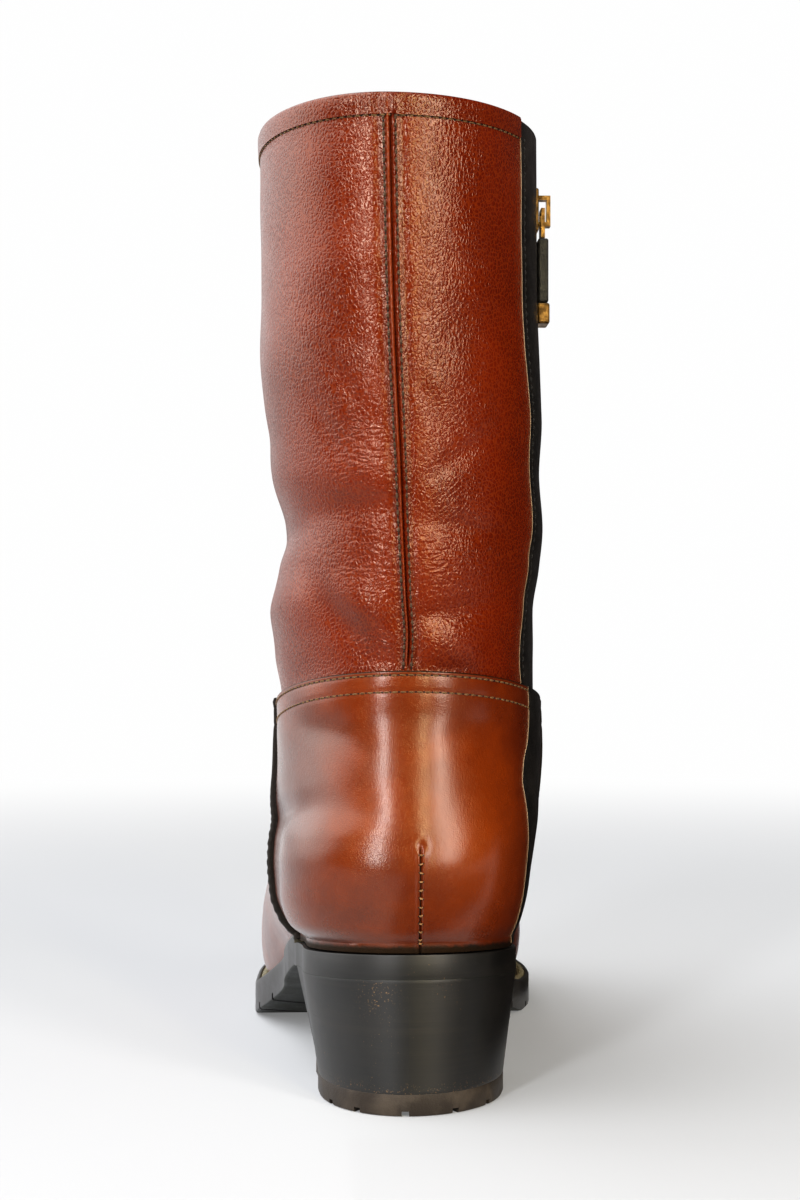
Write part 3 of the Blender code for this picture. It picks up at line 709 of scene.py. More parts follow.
def put(tree, kind, inputs=None, **settings):
    """One shader node with its settings, and its inputs set or linked."""
    node = tree.nodes.new("ShaderNode" + kind)
    for key, value in settings.items():
        setattr(node, key, value)
    for key, value in (inputs or {}).items():
        if isinstance(value, bpy.types.NodeSocket):
            tree.links.new(value, node.inputs[key])
        else:
            node.inputs[key].default_value = value
    return node


def new_material(name, roughness=0.5, metallic=0.0, specular=0.5, coat=0.0, coat_roughness=0.2, sheen=0.0,
                 tint=(1.0, 1.0, 1.0)):
    """Material with its shader's even values, its node tree, shader and object coordinates."""
    material = bpy.data.materials.new(name)
    material.use_nodes = True
    tree = material.node_tree
    shader = tree.nodes["Principled BSDF"]
    shader.inputs["Roughness"].default_value = roughness
    shader.inputs["Metallic"].default_value = metallic
    shader.inputs["Specular IOR Level"].default_value = specular
    shader.inputs["Specular Tint"].default_value = (*tint, 1.0)
    shader.inputs["Coat Weight"].default_value = coat
    shader.inputs["Coat Roughness"].default_value = coat_roughness
    shader.inputs["Sheen Weight"].default_value = sheen
    return material, tree, shader, put(tree, "TexCoord").outputs["Object"]


def calc(tree, operation, first, second, clamp=False):
    """Result of a sum on two numbers."""
    return put(tree, "Math", {0: first, 1: second}, operation=operation, use_clamp=clamp).outputs[0]


def times(tree, first, second):
    """Product of two numbers."""
    return calc(tree, "MULTIPLY", first, second)


def plus(tree, first, second, clamp=False):
    """Sum of two numbers, held between 0 and 1 if clamped."""
    return calc(tree, "ADD", first, second, clamp)


def span(tree, value, low, high, to_low=0.0, to_high=1.0):
    """A value moved smoothly from one range to another."""
    inputs = {"Value": value, "From Min": low, "From Max": high, "To Min": to_low, "To Max": to_high}
    return put(tree, "MapRange", inputs, interpolation_type="SMOOTHSTEP").outputs["Result"]


def mix(tree, factor, first, second):
    """Mix of two colours."""
    node = put(tree, "Mix", {0: factor}, data_type="RGBA")
    for socket, value in ((node.inputs[6], first), (node.inputs[7], second)):
        if isinstance(value, bpy.types.NodeSocket):
            tree.links.new(value, socket)
        else:
            socket.default_value = (*value, 1.0)
    return node.outputs[2]


def noise(tree, vector, size, detail=3.0, roughness=0.55):
    """Soft noise with lumps of a size in millimetres."""
    inputs = {"Vector": vector, "Scale": 1 / (size * MM), "Detail": detail, "Roughness": roughness}
    return put(tree, "TexNoise", inputs).outputs["Fac"]


def stretched(tree, vector, factors, turn_deg=0.0):
    """Coordinates scaled along each axis, turned about the boot's length."""
    inputs = {"Vector": vector, "Scale": factors, "Rotation": (0.0, math.radians(turn_deg), 0.0)}
    return put(tree, "Mapping", inputs).outputs["Vector"]


def warped(tree, vector, size, amount):
    """Coordinates pushed about by noise, both in millimetres."""
    node = put(tree, "TexNoise", {"Vector": vector, "Scale": 1 / (size * MM), "Detail": 2.0})
    middle = put(tree, "VectorMath", {0: node.outputs["Color"], 1: (0.5, 0.5, 0.5)}, operation="SUBTRACT")
    push = put(tree, "VectorMath", {0: middle.outputs[0], "Scale": 2 * amount * MM}, operation="SCALE")
    return put(tree, "VectorMath", {0: vector, 1: push.outputs[0]}, operation="ADD").outputs[0]


def pebbles(tree, vector, size, edge=0.3):
    """Raised pebbles of a size in millimetres with creases between them."""
    inputs = {"Vector": vector, "Scale": 1 / (size * MM), "Randomness": 0.9}
    node = put(tree, "TexVoronoi", inputs, feature="DISTANCE_TO_EDGE")
    return span(tree, node.outputs["Distance"], 0.0, edge)


def wave(tree, vector, scale, distortion, direction):
    """Soft bands across a direction."""
    inputs = {"Vector": vector, "Scale": scale, "Distortion": distortion}
    return put(tree, "TexWave", inputs, wave_type="BANDS", bands_direction=direction).outputs["Fac"]


def bump(tree, shader, height, depth, socket="Normal"):
    """Bump of a depth in millimetres on a shader."""
    node = put(tree, "Bump", {"Height": height, "Distance": depth * MM, "Strength": 1.0})
    tree.links.new(node.outputs["Normal"], shader.inputs[socket])


def marks_of(tree):
    """The three masks painted on a piece."""
    attribute = put(tree, "Attribute", attribute_name="marks")
    return put(tree, "SeparateColor", {0: attribute.outputs["Color"]}).outputs


def shaft_leather():
    """Grained cognac leather with soft wrinkles. Masks: wrinkles; painted shade in the back seam's groove and
    beside its ridges, also a slightly darker collar binding; brighter, a lighter band beside the seam with a
    painted highlight on its lateral ridge.
    """
    material, tree, shader, place = new_material("shaft_leather", specular=0.55, tint=(1.0, 0.80, 0.64))
    wrinkled, shade_and_darker_tone, brighter = marks_of(tree)[:3]
    loose = warped(tree, place, 7.0, 0.9)
    coarse = pebbles(tree, stretched(tree, loose, (1.0, 1.0, 0.85), 20.0), 1.15, 0.30)
    fine = pebbles(tree, loose, 0.6, 0.26)
    folded = pebbles(tree, stretched(tree, warped(tree, place, 9.0, 1.8), (0.34, 0.34, 1.0), 6.0), 1.8, 0.34)
    skewed = pebbles(tree, stretched(tree, warped(tree, place, 9.0, 1.5), (1.0, 1.0, 0.4), 32.0), 1.6, 0.30)
    patches = span(tree, noise(tree, place, 26.0, 2.0), 0.42, 0.62)
    grain = plus(tree, times(tree, coarse, 0.6), times(tree, fine, 0.08))
    grain = plus(tree, grain, times(tree, skewed, times(tree, patches, 0.6)))
    ridges = times(tree, folded, times(tree, wrinkled, 1.6))
    height = plus(tree, grain, ridges)
    bump(tree, shader, height, 0.115)
    tone = span(tree, noise(tree, place, 30.0, 4.0), 0.3, 0.7)
    colour = mix(tree, tone, (0.090, 0.0070, 0.0006), (0.128, 0.0108, 0.0008))
    # painted highlight: the creases between the pebbles made paler, for light caught on their edges
    colour = mix(tree, span(tree, coarse, 0.0, 0.45, 0.36, 0.0), colour, (0.24, 0.040, 0.006))
    # a lighter band beside the back seam, and a painted highlight on the seam's lateral ridge
    colour = mix(tree, times(tree, brighter, 0.6), colour, (0.18, 0.018, 0.0012))
    colour = mix(tree, span(tree, brighter, 0.7, 1.5, 0.0, 0.75), colour, (0.33, 0.095, 0.026))
    # painted shade: darker in the back seam's groove and beside its ridges; the collar binding a little
    # darker all over
    colour = mix(tree, times(tree, shade_and_darker_tone, 0.85), colour, (0.035, 0.006, 0.002))
    tree.links.new(colour, shader.inputs["Base Color"])
    gloss = noise(tree, place, 12.0, 3.0)
    tree.links.new(span(tree, gloss, 0.3, 0.7, 0.18, 0.25), shader.inputs["Roughness"])
    return material


def smooth_leather(name, light, dark, low_rough, high_rough, coat, tint):
    """Smooth polished leather with mottled tone. Masks: dark patina, which at the back panel's medial end is
    painted shade; burnished nearly black; brighter, which on the back panel is painted highlight.
    """
    material, tree, shader, place = new_material(name, specular=0.3, coat_roughness=0.23, tint=tint)
    patina, burnished, brighter = marks_of(tree)[:3]
    loose = warped(tree, place, 3.0, 0.35)
    pores = pebbles(tree, loose, 0.62, 0.35)
    pulled = pebbles(tree, stretched(tree, loose, (1.0, 1.0, 0.5), 35.0), 1.1, 0.4)
    soft = noise(tree, place, 9.0, 3.0)
    height = plus(tree, times(tree, pores, 0.35), times(tree, pulled, 0.25))
    height = plus(tree, height, times(tree, soft, 1.2))
    bump(tree, shader, height, 0.10)
    bump(tree, shader, height, 0.02, "Coat Normal")
    tone = span(tree, noise(tree, place, 18.0, 5.0, 0.6), 0.35, 0.68)
    colour = mix(tree, tone, dark, light)
    clouds = span(tree, noise(tree, place, 5.0, 4.0), 0.45, 0.75, 0.0, 0.35)
    colour = mix(tree, clouds, colour, dark)
    # painted highlight: lighter where the back panel catches the lamps
    colour = mix(tree, times(tree, brighter, 0.55), colour, (0.23, 0.040, 0.002))
    # patina, and at the back panel's medial end painted shade
    colour = mix(tree, times(tree, patina, 0.75), colour, (0.052, 0.0080, 0.0020))
    rough_edge = plus(tree, burnished, times(tree, noise(tree, place, 2.2, 4.0), 0.55))
    colour = mix(tree, span(tree, rough_edge, 0.62, 1.1), colour, (0.006, 0.0045, 0.004))
    tree.links.new(colour, shader.inputs["Base Color"])
    rough = span(tree, noise(tree, place, 14.0, 3.0), 0.3, 0.7, low_rough, high_rough)
    rough = plus(tree, rough, times(tree, burnished, 0.4))
    tree.links.new(rough, shader.inputs["Roughness"])
    waxed = span(tree, patina, 0.0, 0.7, coat, 1.0)
    waxed = times(tree, waxed, span(tree, burnished, 0.35, 0.9, 1.0, 0.0))
    tree.links.new(waxed, shader.inputs["Coat Weight"])
    return material


def raw_edge(name, colour, spread):
    """Cut leather edge with fibres."""
    material, tree, shader, place = new_material(name, roughness=0.7, specular=0.2)
    fibres = noise(tree, stretched(tree, place, (1.0, 1.0, 3.0)), 0.8, 5.0, 0.7)
    tone = mix(tree, span(tree, fibres, 0.35, 0.7), colour, tuple(value * spread for value in colour))
    tree.links.new(tone, shader.inputs["Base Color"])
    bump(tree, shader, fibres, 0.25)
    return material


def lining():
    """Pale tan lining leather with a suede-like nap."""
    material, tree, shader, place = new_material("lining", roughness=0.78, sheen=0.25)
    nap = noise(tree, place, 1.1, 5.0, 0.7)
    tone = mix(tree, span(tree, noise(tree, place, 22.0), 0.35, 0.7), (0.36, 0.22, 0.115), (0.47, 0.31, 0.18))
    tone = mix(tree, span(tree, nap, 0.35, 0.75, 0.0, 0.35), tone, (0.25, 0.14, 0.07))
    tree.links.new(tone, shader.inputs["Base Color"])
    bump(tree, shader, nap, 0.12)
    return material


def thread(name, light, dark):
    """Twisted sewing thread."""
    material, tree, shader, place = new_material(name, roughness=0.6, specular=0.25, sheen=0.05)
    twist = wave(tree, stretched(tree, place, (1.0, 1.0, 1.0), 35.0), 900.0, 3.0, "DIAGONAL")
    worn = noise(tree, place, 3.5, 3.0)
    tone = mix(tree, twist, dark, light)
    tone = mix(tree, span(tree, worn, 0.4, 0.75, 0.0, 0.6), tone, dark)
    tree.links.new(tone, shader.inputs["Base Color"])
    bump(tree, shader, twist, 0.12)
    return material


def heel_leather():
    """Burnished stacked leather, nearly black, with layer lines, fine scratches and rubbed flecks."""
    material, tree, shader, place = new_material("heel_burnish", specular=0.4, coat=0.3, coat_roughness=0.45)
    layers = noise(tree, stretched(tree, place, (0.03, 0.03, 1.0)), 1.6, 4.0, 0.6)
    scratches = noise(tree, stretched(tree, place, (0.05, 0.05, 1.0), 3.0), 0.55, 3.0, 0.75)
    cloudy = noise(tree, place, 15.0, 4.0)
    tone = mix(tree, span(tree, cloudy, 0.35, 0.7), (0.0035, 0.0035, 0.0034), (0.007, 0.0064, 0.0058))
    tone = mix(tree, span(tree, layers, 0.45, 0.75, 0.0, 0.5), tone, (0.013, 0.0105, 0.008))
    flecks = noise(tree, place, 0.55, 2.0)
    where = noise(tree, place, 13.0, 2.0)
    worn = times(tree, span(tree, flecks, 0.68, 0.76), span(tree, where, 0.56, 0.7))
    scuffed = times(tree, span(tree, flecks, 0.6, 0.7), marks_of(tree)[0])
    worn = plus(tree, worn, scuffed, True)
    tone = mix(tree, times(tree, worn, 0.8), tone, (0.22, 0.12, 0.045))
    tree.links.new(tone, shader.inputs["Base Color"])
    line = span(tree, scratches, 0.62, 0.8)
    rough = plus(tree, span(tree, cloudy, 0.3, 0.7, 0.44, 0.52), times(tree, line, 0.2))
    tree.links.new(rough, shader.inputs["Roughness"])
    height = calc(tree, "SUBTRACT", times(tree, layers, 0.5), times(tree, line, 0.35))
    bump(tree, shader, height, 0.09)
    return material


def sole_edge():
    """Waxed sole edge, dark grey satin."""
    material, tree, shader, place = new_material("sole_edge", specular=0.35, coat=0.1, coat_roughness=0.3)
    run = noise(tree, stretched(tree, place, (0.12, 0.12, 1.0)), 2.0, 4.0)
    cloudy = noise(tree, place, 11.0, 4.0)
    tone = mix(tree, span(tree, cloudy, 0.35, 0.7), (0.020, 0.019, 0.019), (0.040, 0.038, 0.037))
    tree.links.new(tone, shader.inputs["Base Color"])
    tree.links.new(span(tree, cloudy, 0.3, 0.7, 0.34, 0.46), shader.inputs["Roughness"])
    bump(tree, shader, plus(tree, run, cloudy), 0.12)
    return material


def rubber(name, dark, light, low_rough, high_rough):
    """Moulded rubber with dust and wear."""
    material, tree, shader, place = new_material(name, specular=0.25)
    grit = noise(tree, place, 0.6, 3.0)
    dust = noise(tree, place, 9.0, 5.0)
    tone = mix(tree, span(tree, dust, 0.4, 0.72), dark, light)
    tree.links.new(tone, shader.inputs["Base Color"])
    tree.links.new(span(tree, dust, 0.35, 0.7, low_rough, high_rough), shader.inputs["Roughness"])
    bump(tree, shader, grit, 0.08)
    return material


def welt_leather():
    """Olive-brown welt, waxed, with rubbed marks."""
    material, tree, shader, place = new_material("welt_olive", roughness=0.55)
    rubbed = noise(tree, place, 1.3, 4.0)
    tone = mix(tree, span(tree, rubbed, 0.35, 0.7), (0.055, 0.046, 0.028), (0.15, 0.13, 0.085))
    tree.links.new(tone, shader.inputs["Base Color"])
    bump(tree, shader, rubbed, 0.15)
    return material


def woven_tape():
    """Black woven zip tape."""
    material, tree, shader, place = new_material("woven_tape", roughness=0.85, sheen=0.3)
    cloth = times(tree, wave(tree, place, 480.0, 0.6, "Z"), wave(tree, place, 480.0, 0.6, "Y"))
    tree.links.new(mix(tree, cloth, (0.004, 0.004, 0.004), (0.02, 0.02, 0.02)), shader.inputs["Base Color"])
    bump(tree, shader, cloth, 0.15)
    return material


def old_brass():
    """Antique brass, tarnished dark and rubbed bright in patches of noise."""
    material, tree, shader, place = new_material("old_brass", metallic=1.0)
    tarnish = noise(tree, place, 2.6, 5.0)
    tone = mix(tree, span(tree, tarnish, 0.35, 0.68), (0.10, 0.058, 0.022), (0.40, 0.24, 0.085))
    tree.links.new(tone, shader.inputs["Base Color"])
    tree.links.new(span(tree, tarnish, 0.3, 0.7, 0.48, 0.28), shader.inputs["Roughness"])
    bump(tree, shader, noise(tree, place, 0.7, 3.0), 0.04)
    return material


def black_leather():
    """Plain black leather with fine grain."""
    material, tree, shader, place = new_material("black_leather", coat=0.15, coat_roughness=0.25)
    grain = pebbles(tree, warped(tree, place, 3.0, 0.4), 0.8, 0.35)
    cloudy = span(tree, noise(tree, place, 8.0, 4.0), 0.35, 0.7)
    tone = mix(tree, cloudy, (0.006, 0.006, 0.006), (0.016, 0.015, 0.014))
    tree.links.new(tone, shader.inputs["Base Color"])
    tree.links.new(span(tree, noise(tree, place, 6.0), 0.3, 0.7, 0.34, 0.46), shader.inputs["Roughness"])
    bump(tree, shader, grain, 0.08)
    return material


def plain(name, colour, roughness):
    """Even material for holes and dark cards, with a little mottle."""
    material, tree, shader, place = new_material(name, roughness=roughness)
    tone = mix(tree, noise(tree, place, 1.0, 2.0), tuple(value * 0.7 for value in colour), colour)
    tree.links.new(tone, shader.inputs["Base Color"])
    return material


def levels_by_height(low, high, count):
    """Levels whose heights at the back are evenly spaced."""
    fine = np.linspace(low, high, 600)
    heights = at_level("back_z", fine)
    return np.interp(np.linspace(heights[0], heights[-1], count), heights, fine)


def depth_at(level):
    """Length of a level from back to front."""
    return at_level("front_y", level) - at_level("back_y", level)


def slot_cells(levels, turns, low, high):
    """Moves the columns from low to high to the zip slot's edges and returns the cells of the slot."""
    cells = set()
    for row in np.flatnonzero(levels >= ZIP_BOTTOM):
        half = SLOT_HALF / (depth_at(levels[row]) / 2)
        turns[row, low:high + 1] = np.linspace(ZIP_TURN - half, ZIP_TURN + half, high - low + 1)
        cells |= {(row, column) for column in range(low, high)}
    return cells


# Close levels over the vamp's lapped top edge, and over the back panel's rounded one
LAP_LEVELS = (9.89, 9.92, 9.94, 9.955, 9.97, 9.985, 10.0, 10.03, 10.08, 10.15, 10.24)
RIM_LEVELS = (9.88, 9.92, 9.95, 9.97, 9.985, 9.995, 10.0)


def add_upper(shaft, vamp, inside, edge):
    """Vamp and shaft as one wall with folds and seam ridges."""
    levels = np.concatenate((levels_by_height(0, 9.85, 60), LAP_LEVELS,
                             levels_by_height(ZIP_BOTTOM, COLLAR, 112)))
    seam = np.linspace(-SEAM_TURN, SEAM_TURN, 61)
    rest = np.linspace(SEAM_TURN, 2 * math.pi - SEAM_TURN, 194)[1:-1]
    turns = np.tile(np.concatenate((seam, rest)), (len(levels), 1))
    near = np.flatnonzero(np.abs(turns[0] - ZIP_TURN) < 0.08)
    slot = slot_cells(levels, turns, near[0], near[-1])
    rows, columns = turns.shape
    grid = levels[:, None]
    outer = upper_face(grid, turns)
    faces, counts = shell_faces(rows, columns, True, slot)
    slots = [0 if levels[face[0] // columns] >= SHAFT_START else 1 for face in faces[:counts[0]]]
    slots += [2] * counts[1] + [3] * counts[2]
    piece = add_mesh("upper_leather", np.stack((outer, form(grid, turns, -WALL))), faces,
                     [shaft, vamp, inside, edge], face_slots=slots)
    paint(piece, np.stack((upper_marks(grid, turns, outer), np.zeros(outer.shape))))
    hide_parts("upper")


def upper_marks(levels, turns, outer):
    """Masks of the upper. Shaft: wrinkled; painted shade in the back seam's groove and beside its ridges;
    brighter, with a painted highlight on the seam's lateral ridge. Vamp: patina, burnished, brighter.
    """
    z = outer[..., 2]
    wrinkled = np.zeros(z.shape)
    for row in rows_of(WRINKLES, WRINKLE_COLUMNS):
        along, across = fold_places(turns, z, row)
        wrinkled += bell(along, row["length"]) * bell(across, row["width"])
    offset, width = seam_offset(levels, turns)
    at_back = np.abs(signed_turn(turns)) < BACK_TURN
    # painted shade: darker in the seam's groove and in the hollows beside its ridges
    groove = at_back * bell(offset, 0.2)
    beside = at_back * bell(np.abs(offset) / width - 3.0, 0.6) * 0.35
    brighter = at_back * bell(np.abs(offset) - 6.0, 4.0) * 0.5
    # painted highlight: the seam's lateral ridge made lighter, as where the lamps light it
    brighter = brighter + at_back * bell(offset / width - SEAM_RIDGES[0], 0.45) * 1.6
    shaft = (levels >= SHAFT_START) * np.ones(z.shape)
    lowest = 1 - ease((z - sole_top(outer[..., 1]) - WELT_THICK - 1.0) / 5.0)
    toe = bell(outer[..., 1] - LAST_LENGTH, 38.0) * 0.55 + 0.15
    return np.stack((np.where(shaft, wrinkled, toe), np.where(shaft, groove + beside, 0.7 * lowest),
                     np.where(shaft, brighter, 0.0)), axis=-1)


def rounded_step(distance, radius):
    """How far a face falls away near a rounded edge."""
    inside = np.clip(radius - distance, 0.0, radius)
    return np.sqrt(radius ** 2 - inside ** 2) - radius


def add_counter(leather, edge):
    """Back panel with rounded cut edges."""
    levels = np.concatenate((levels_by_height(0, 9.84, 96), RIM_LEVELS))[:, None]
    fine = 1 - np.array((0.0, 0.0012, 0.003, 0.006, 0.010, 0.016))
    shares = np.concatenate((-fine, fine, np.linspace(-0.98, 0.98, 150), np.linspace(-0.135, 0.02, 64)))
    shares = np.unique(np.round(shares, 4))[None, :]
    front = turn_at(levels, counter_edge_y(levels))
    turns = front * shares
    sides = (1 - np.abs(shares)) * front * AROUND
    tops = (COUNTER_TOP - levels) * LEVEL_HEIGHT + 0 * shares
    fall = rounded_step(sides, 0.7) + rounded_step(tops, 0.7)
    outer = counter_face(levels, turns, fall)
    inner = form(levels, turns, np.full(turns.shape, CURVED_GAP))
    piece = add_plate("counter_leather", outer, inner, [leather, edge], sharp_deg=75.0)
    paint(piece, np.stack((counter_marks(outer, tops), np.zeros(outer.shape))))
    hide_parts("heel_counter")


# Darker places of the back panel, patina, with painted shade at its medial end (x 36): x, height, half length
# across, half length up, strength
PATINA = (
    (-33, 98, 13, 22, 0.75),
    (-38, 74, 9, 20, 0.6),
    (-14, 66, 16, 9, 0.35),
    (-22, 112, 12, 5, 0.5),
    # painted shade: the medial end, which lies in shade, made darker
    (36, 92, 6, 40, 0.4),
    (-3, 58, 20, 5, 0.35),
    (24, 118, 14, 6, 0.3),
)
# Painted highlight: lighter places of the back panel where the lamps light it, in the same columns
PAINTED_HIGHLIGHTS = (
    (-6, 112, 8, 9, 0.3),
    (2, 92, 9, 18, 0.2),
    (-16, 86, 7, 12, 0.6),
    (20, 76, 13, 16, 0.9),
    (24, 100, 9, 14, 0.5),
    (-6, 62, 5, 4, 0.4),
)


def counter_marks(place, tops):
    """Masks of the back panel: patina, with painted shade at its medial end; burnished; brighter, a painted
    highlight.
    """
    x, y, z = np.moveaxis(place, -1, 0)
    masks = []
    for table in (PATINA, PAINTED_HIGHLIGHTS):
        total = np.zeros(x.shape)
        for at_x, height, across, up, strength in table:
            total += strength * bell(x - at_x, across) * bell(z - height, up)
        masks.append(total)
    rim = 1 - ease((z - sole_top(y) - 0.6) / 4.2)
    masks[0] = np.maximum(masks[0], 0.75 * (1 - ease((z - sole_top(y) - 2.0) / 9.0)))
    dart = (y < BACK_Y) * (z < DART_TOP) * bell(x - DART_X, 0.35) * 0.8
    return np.stack((masks[0], np.maximum(rim, dart) + 0.95 * bell(tops, 0.6), masks[1]), axis=-1)


# The back panel's cut edge in section: out from the upper's face, and ahead of the panel's end
EDGE_SECTION = ((0.3, -0.1), (3.3, -0.1), (3.85, 0.15), (4.1, 0.55), (4.1, 1.1), (3.8, 1.6), (3.1, 1.85),
                (0.3, 1.85))


def add_counter_edges(edge):
    """Dark cut edges that stand proud along the back panel's two front ends."""
    levels = levels_by_height(0.25, COUNTER_TOP + 0.12, 90)
    front = turn_at(levels, counter_edge_y(levels))
    height = at_level("back_z", levels)
    scallop = 0.16 * np.sin(2 * math.pi * height / 3.1) * (1 - ease((height - 80.0) / 30.0))
    cap = rounded_step((COUNTER_TOP + 0.12 - levels) * LEVEL_HEIGHT, 0.6)
    for name, sign in (("counter_edge_lateral", 1), ("counter_edge_medial", -1)):
        sections = []
        for out, ahead in EDGE_SECTION:
            turns = sign * (front + ahead / AROUND)
            lift = np.where(out > 1.0, out + scallop + cap + counter_relief(levels, turns), out)
            sections.append(form(levels, turns, lift))
        piece = add_sweep(name, np.stack(sections, axis=1), [edge])


def stitch_paths():
    """Stitch rows of each sewn line: paths with their outward normals."""
    rows = {"counter_stitches": [], "vamp_stitches": [], "back_seam_stitches": [], "facing_stitches": [],
            "collar_stitches": []}
    for drop in COUNTER_ROWS:
        level = COUNTER_TOP - drop
        front = float(turn_at(level, counter_edge_y(level)))
        turns = np.linspace(front - 0.02, -front + 0.02, 260)
        path = counter_face(np.full(260, level), turns, np.full(260, SEWN_LIFT))
        rows["counter_stitches"].append((path, skin_normal(level, turns)))
        turns = np.linspace(front + 0.09, 2 * math.pi - front - 0.09, 300)
        level = np.full(300, COUNTER_TOP - 0.04 - drop)
        rows["vamp_stitches"].append((upper_face(level, turns), skin_normal(level, turns)))
    levels = levels_by_height(10.06, 19.9, 260)
    fan = np.linspace(-0.16, 0.16, 129)
    offsets, widths = seam_offset(levels[:, None], fan[None, :])
    for thread_row in SEAM_THREADS:
        turns = [np.interp(thread_row * width[0], offset, fan) for offset, width in zip(offsets, widths)]
        turns = np.array(turns)
        rows["back_seam_stitches"].append((upper_face(levels, turns), skin_normal(levels, turns)))
    levels = levels_by_height(10.2, 19.85, 220)
    for share in (0.04, 0.17, 0.96):
        turns = facing_turns(levels, share)
        path = upper_face(levels, turns, np.full(220, FACING_THICK))
        rows["facing_stitches"].append((path, skin_normal(levels, turns)))
    turns = collar_turns(0.02, 360)
    level = np.full(360, COLLAR - 0.25)
    rows["collar_stitches"].append((upper_face(level, turns), skin_normal(level, turns)))
    return rows


def add_dart_stitches(light, hole):
    """Short stitches across the heel dart."""
    heights = DART_TOP - 2.2 - 2.4 * np.arange(12)
    fine = np.linspace(0, COUNTER_TOP, 400)
    levels = np.interp(heights, skin(fine, 0.0)[:, 2], fine)
    fan = np.linspace(-0.25, 0.05, 120)
    parts = []
    for number, level in enumerate(levels):
        x = skin(np.full(len(fan), level), fan)[:, 0]
        tilt = 0.5 * math.sin(2.1 * number)
        ends = []
        for side in (-1.0, 1.0):
            turn = np.interp(-(DART_X + side * 0.62), -x, fan)
            height = np.array([level + 0.05 * side * tilt])
            ends.append(counter_face(height, np.array([turn]), np.array([SEWN_LIFT])))
        normal = skin_normal(np.array([level]), np.array([-DART_X / AROUND]))
        parts.append((*stitch_mesh(ends[0], ends[1], normal, 0.27, 0.3), 0))
        upward = np.array(((0, 0, 1.0),) * 2)
        parts.append((*hole_mesh(np.concatenate(ends), np.repeat(normal, 2, axis=0), upward, 0.2), 1))
    points, faces, slots = joined(parts)
    piece = add_mesh("dart_stitches", points, faces, [light, hole], slots)


def welt_turns(count):
    """Turns along the welt, from one end of the back panel round the toe to the other."""
    start = float(turn_at(0.0, max(COUNTER_EDGE_Y) + 2 * GAP))
    return np.linspace(start, 2 * math.pi - start, count)


def on_welt(turns, margin, up):
    """Points beside the upper at a height over the sole's top."""
    plan = outline(turns, margin)
    return np.concatenate((plan, (sole_top(plan[:, 1]) + GAP + up)[:, None]), axis=1)


def add_welt(olive, edge, cream):
    """Welt with a waxed outer edge, a sunk channel and a pale bead against the upper."""
    turns = welt_turns(300)
    out = sole_margin(turns)
    inside = np.full(len(turns), CURVED_GAP)
    profile = ((inside, -GAP), (out, -GAP), (out, WELT_THICK - 1.0), (out - 0.2, WELT_THICK - 0.4),
               (out - 0.7, WELT_THICK - 0.05), (out - 1.3, WELT_THICK),
               (out - 1.7, WELT_THICK - CHANNEL_DEPTH), (inside + 2.0, WELT_THICK - CHANNEL_DEPTH),
               (inside + 1.4, WELT_THICK), (inside, WELT_THICK))
    sections = np.stack([on_welt(turns, margin, up) for margin, up in profile], axis=1)
    side_slots = [0, 1, 1, 1, 1, 0, 0, 0, 0, 0]
    slots = side_slots * (len(turns) - 1) + [0, 0]
    piece = add_sweep("welt_strip", sections, [olive, edge], face_slots=slots)
    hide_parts("welt")
    angles = 2 * math.pi * np.arange(10) / 10
    bead = [on_welt(turns, inside + 0.9 + 0.85 * math.cos(angle), WELT_THICK + 0.25 + 0.85 * math.sin(angle))
            for angle in angles]
    bead = add_sweep("welt_bead", np.stack(bead, axis=1), [cream])


def add_welt_ribs(light):
    """Welt stitches, pressed side by side across the welt's channel."""
    turns = welt_turns(1200)
    middle = on_welt(turns, (sole_margin(turns) + CURVED_GAP) / 2, WELT_THICK - CHANNEL_DEPTH)
    places = along_path(middle, 1.75, 1.5)[:-1]
    at = np.interp(places, np.arange(len(turns)), turns)
    skew = 0.012
    inner = on_welt(at - skew, np.full(len(at), CURVED_GAP + 2.0), WELT_THICK - 0.45)
    outer = on_welt(at + skew, sole_margin(at) - 1.6, WELT_THICK - 0.45)
    up = np.tile((0.0, 0.0, 1.0), (len(at), 1))
    points, faces = stitch_mesh(inner, outer, up, 0.62, 0.42)
    piece = add_mesh("welt_stitches", points, faces, [light])


def rungs_at(turns, margins, height):
    """Rungs across the foot at turns from 0 to pi, by both sides' margins and a function for the height."""
    sides = []
    for side, margin in zip((turns, 2 * math.pi - turns), margins):
        plan = outline(side, margin)
        sides.append(np.concatenate((plan, height(plan[:, 1])[:, None]), axis=1))
    return np.stack(sides, axis=1)


def stack_faces(layers, rungs):
    """Faces of a solid through a stack of outlines made of rungs."""
    around = 2 * rungs
    faces = grid_faces(layers, around, True)
    for layer in (0, layers - 1):
        first = layer * around
        for rung in range(rungs - 1):
            far = first + around - 1 - rung
            faces.append((first + rung, first + rung + 1, far - 1, far))
    return faces


def add_stack(name, rings, materials):
    """Closed solid through a stack of outlines."""
    layers, rungs = rings.shape[:2]
    loops = np.concatenate((rings[:, :, 0], rings[:, ::-1, 1]), axis=1)
    piece = add_mesh(name, loops, stack_faces(layers, rungs), materials)
    even_normals(piece, WELD)
    return piece


def cut(piece, sections):
    """Cuts swept shapes out of a piece for good."""
    rows, columns = sections[0].shape[:2]
    faces = repeated(tube_faces(rows, columns), rows * columns, len(sections))
    cutter = add_mesh("cutter", np.stack(sections), faces, [])
    even_normals(cutter)
    change = piece.modifiers.new("cut", "BOOLEAN")
    change.object = cutter
    change.solver = "EXACT"
    seen = piece.evaluated_get(bpy.context.evaluated_depsgraph_get())
    mesh = bpy.data.meshes.new_from_object(seen)
    piece.modifiers.clear()
    piece.data = mesh
    bpy.data.objects.remove(cutter)


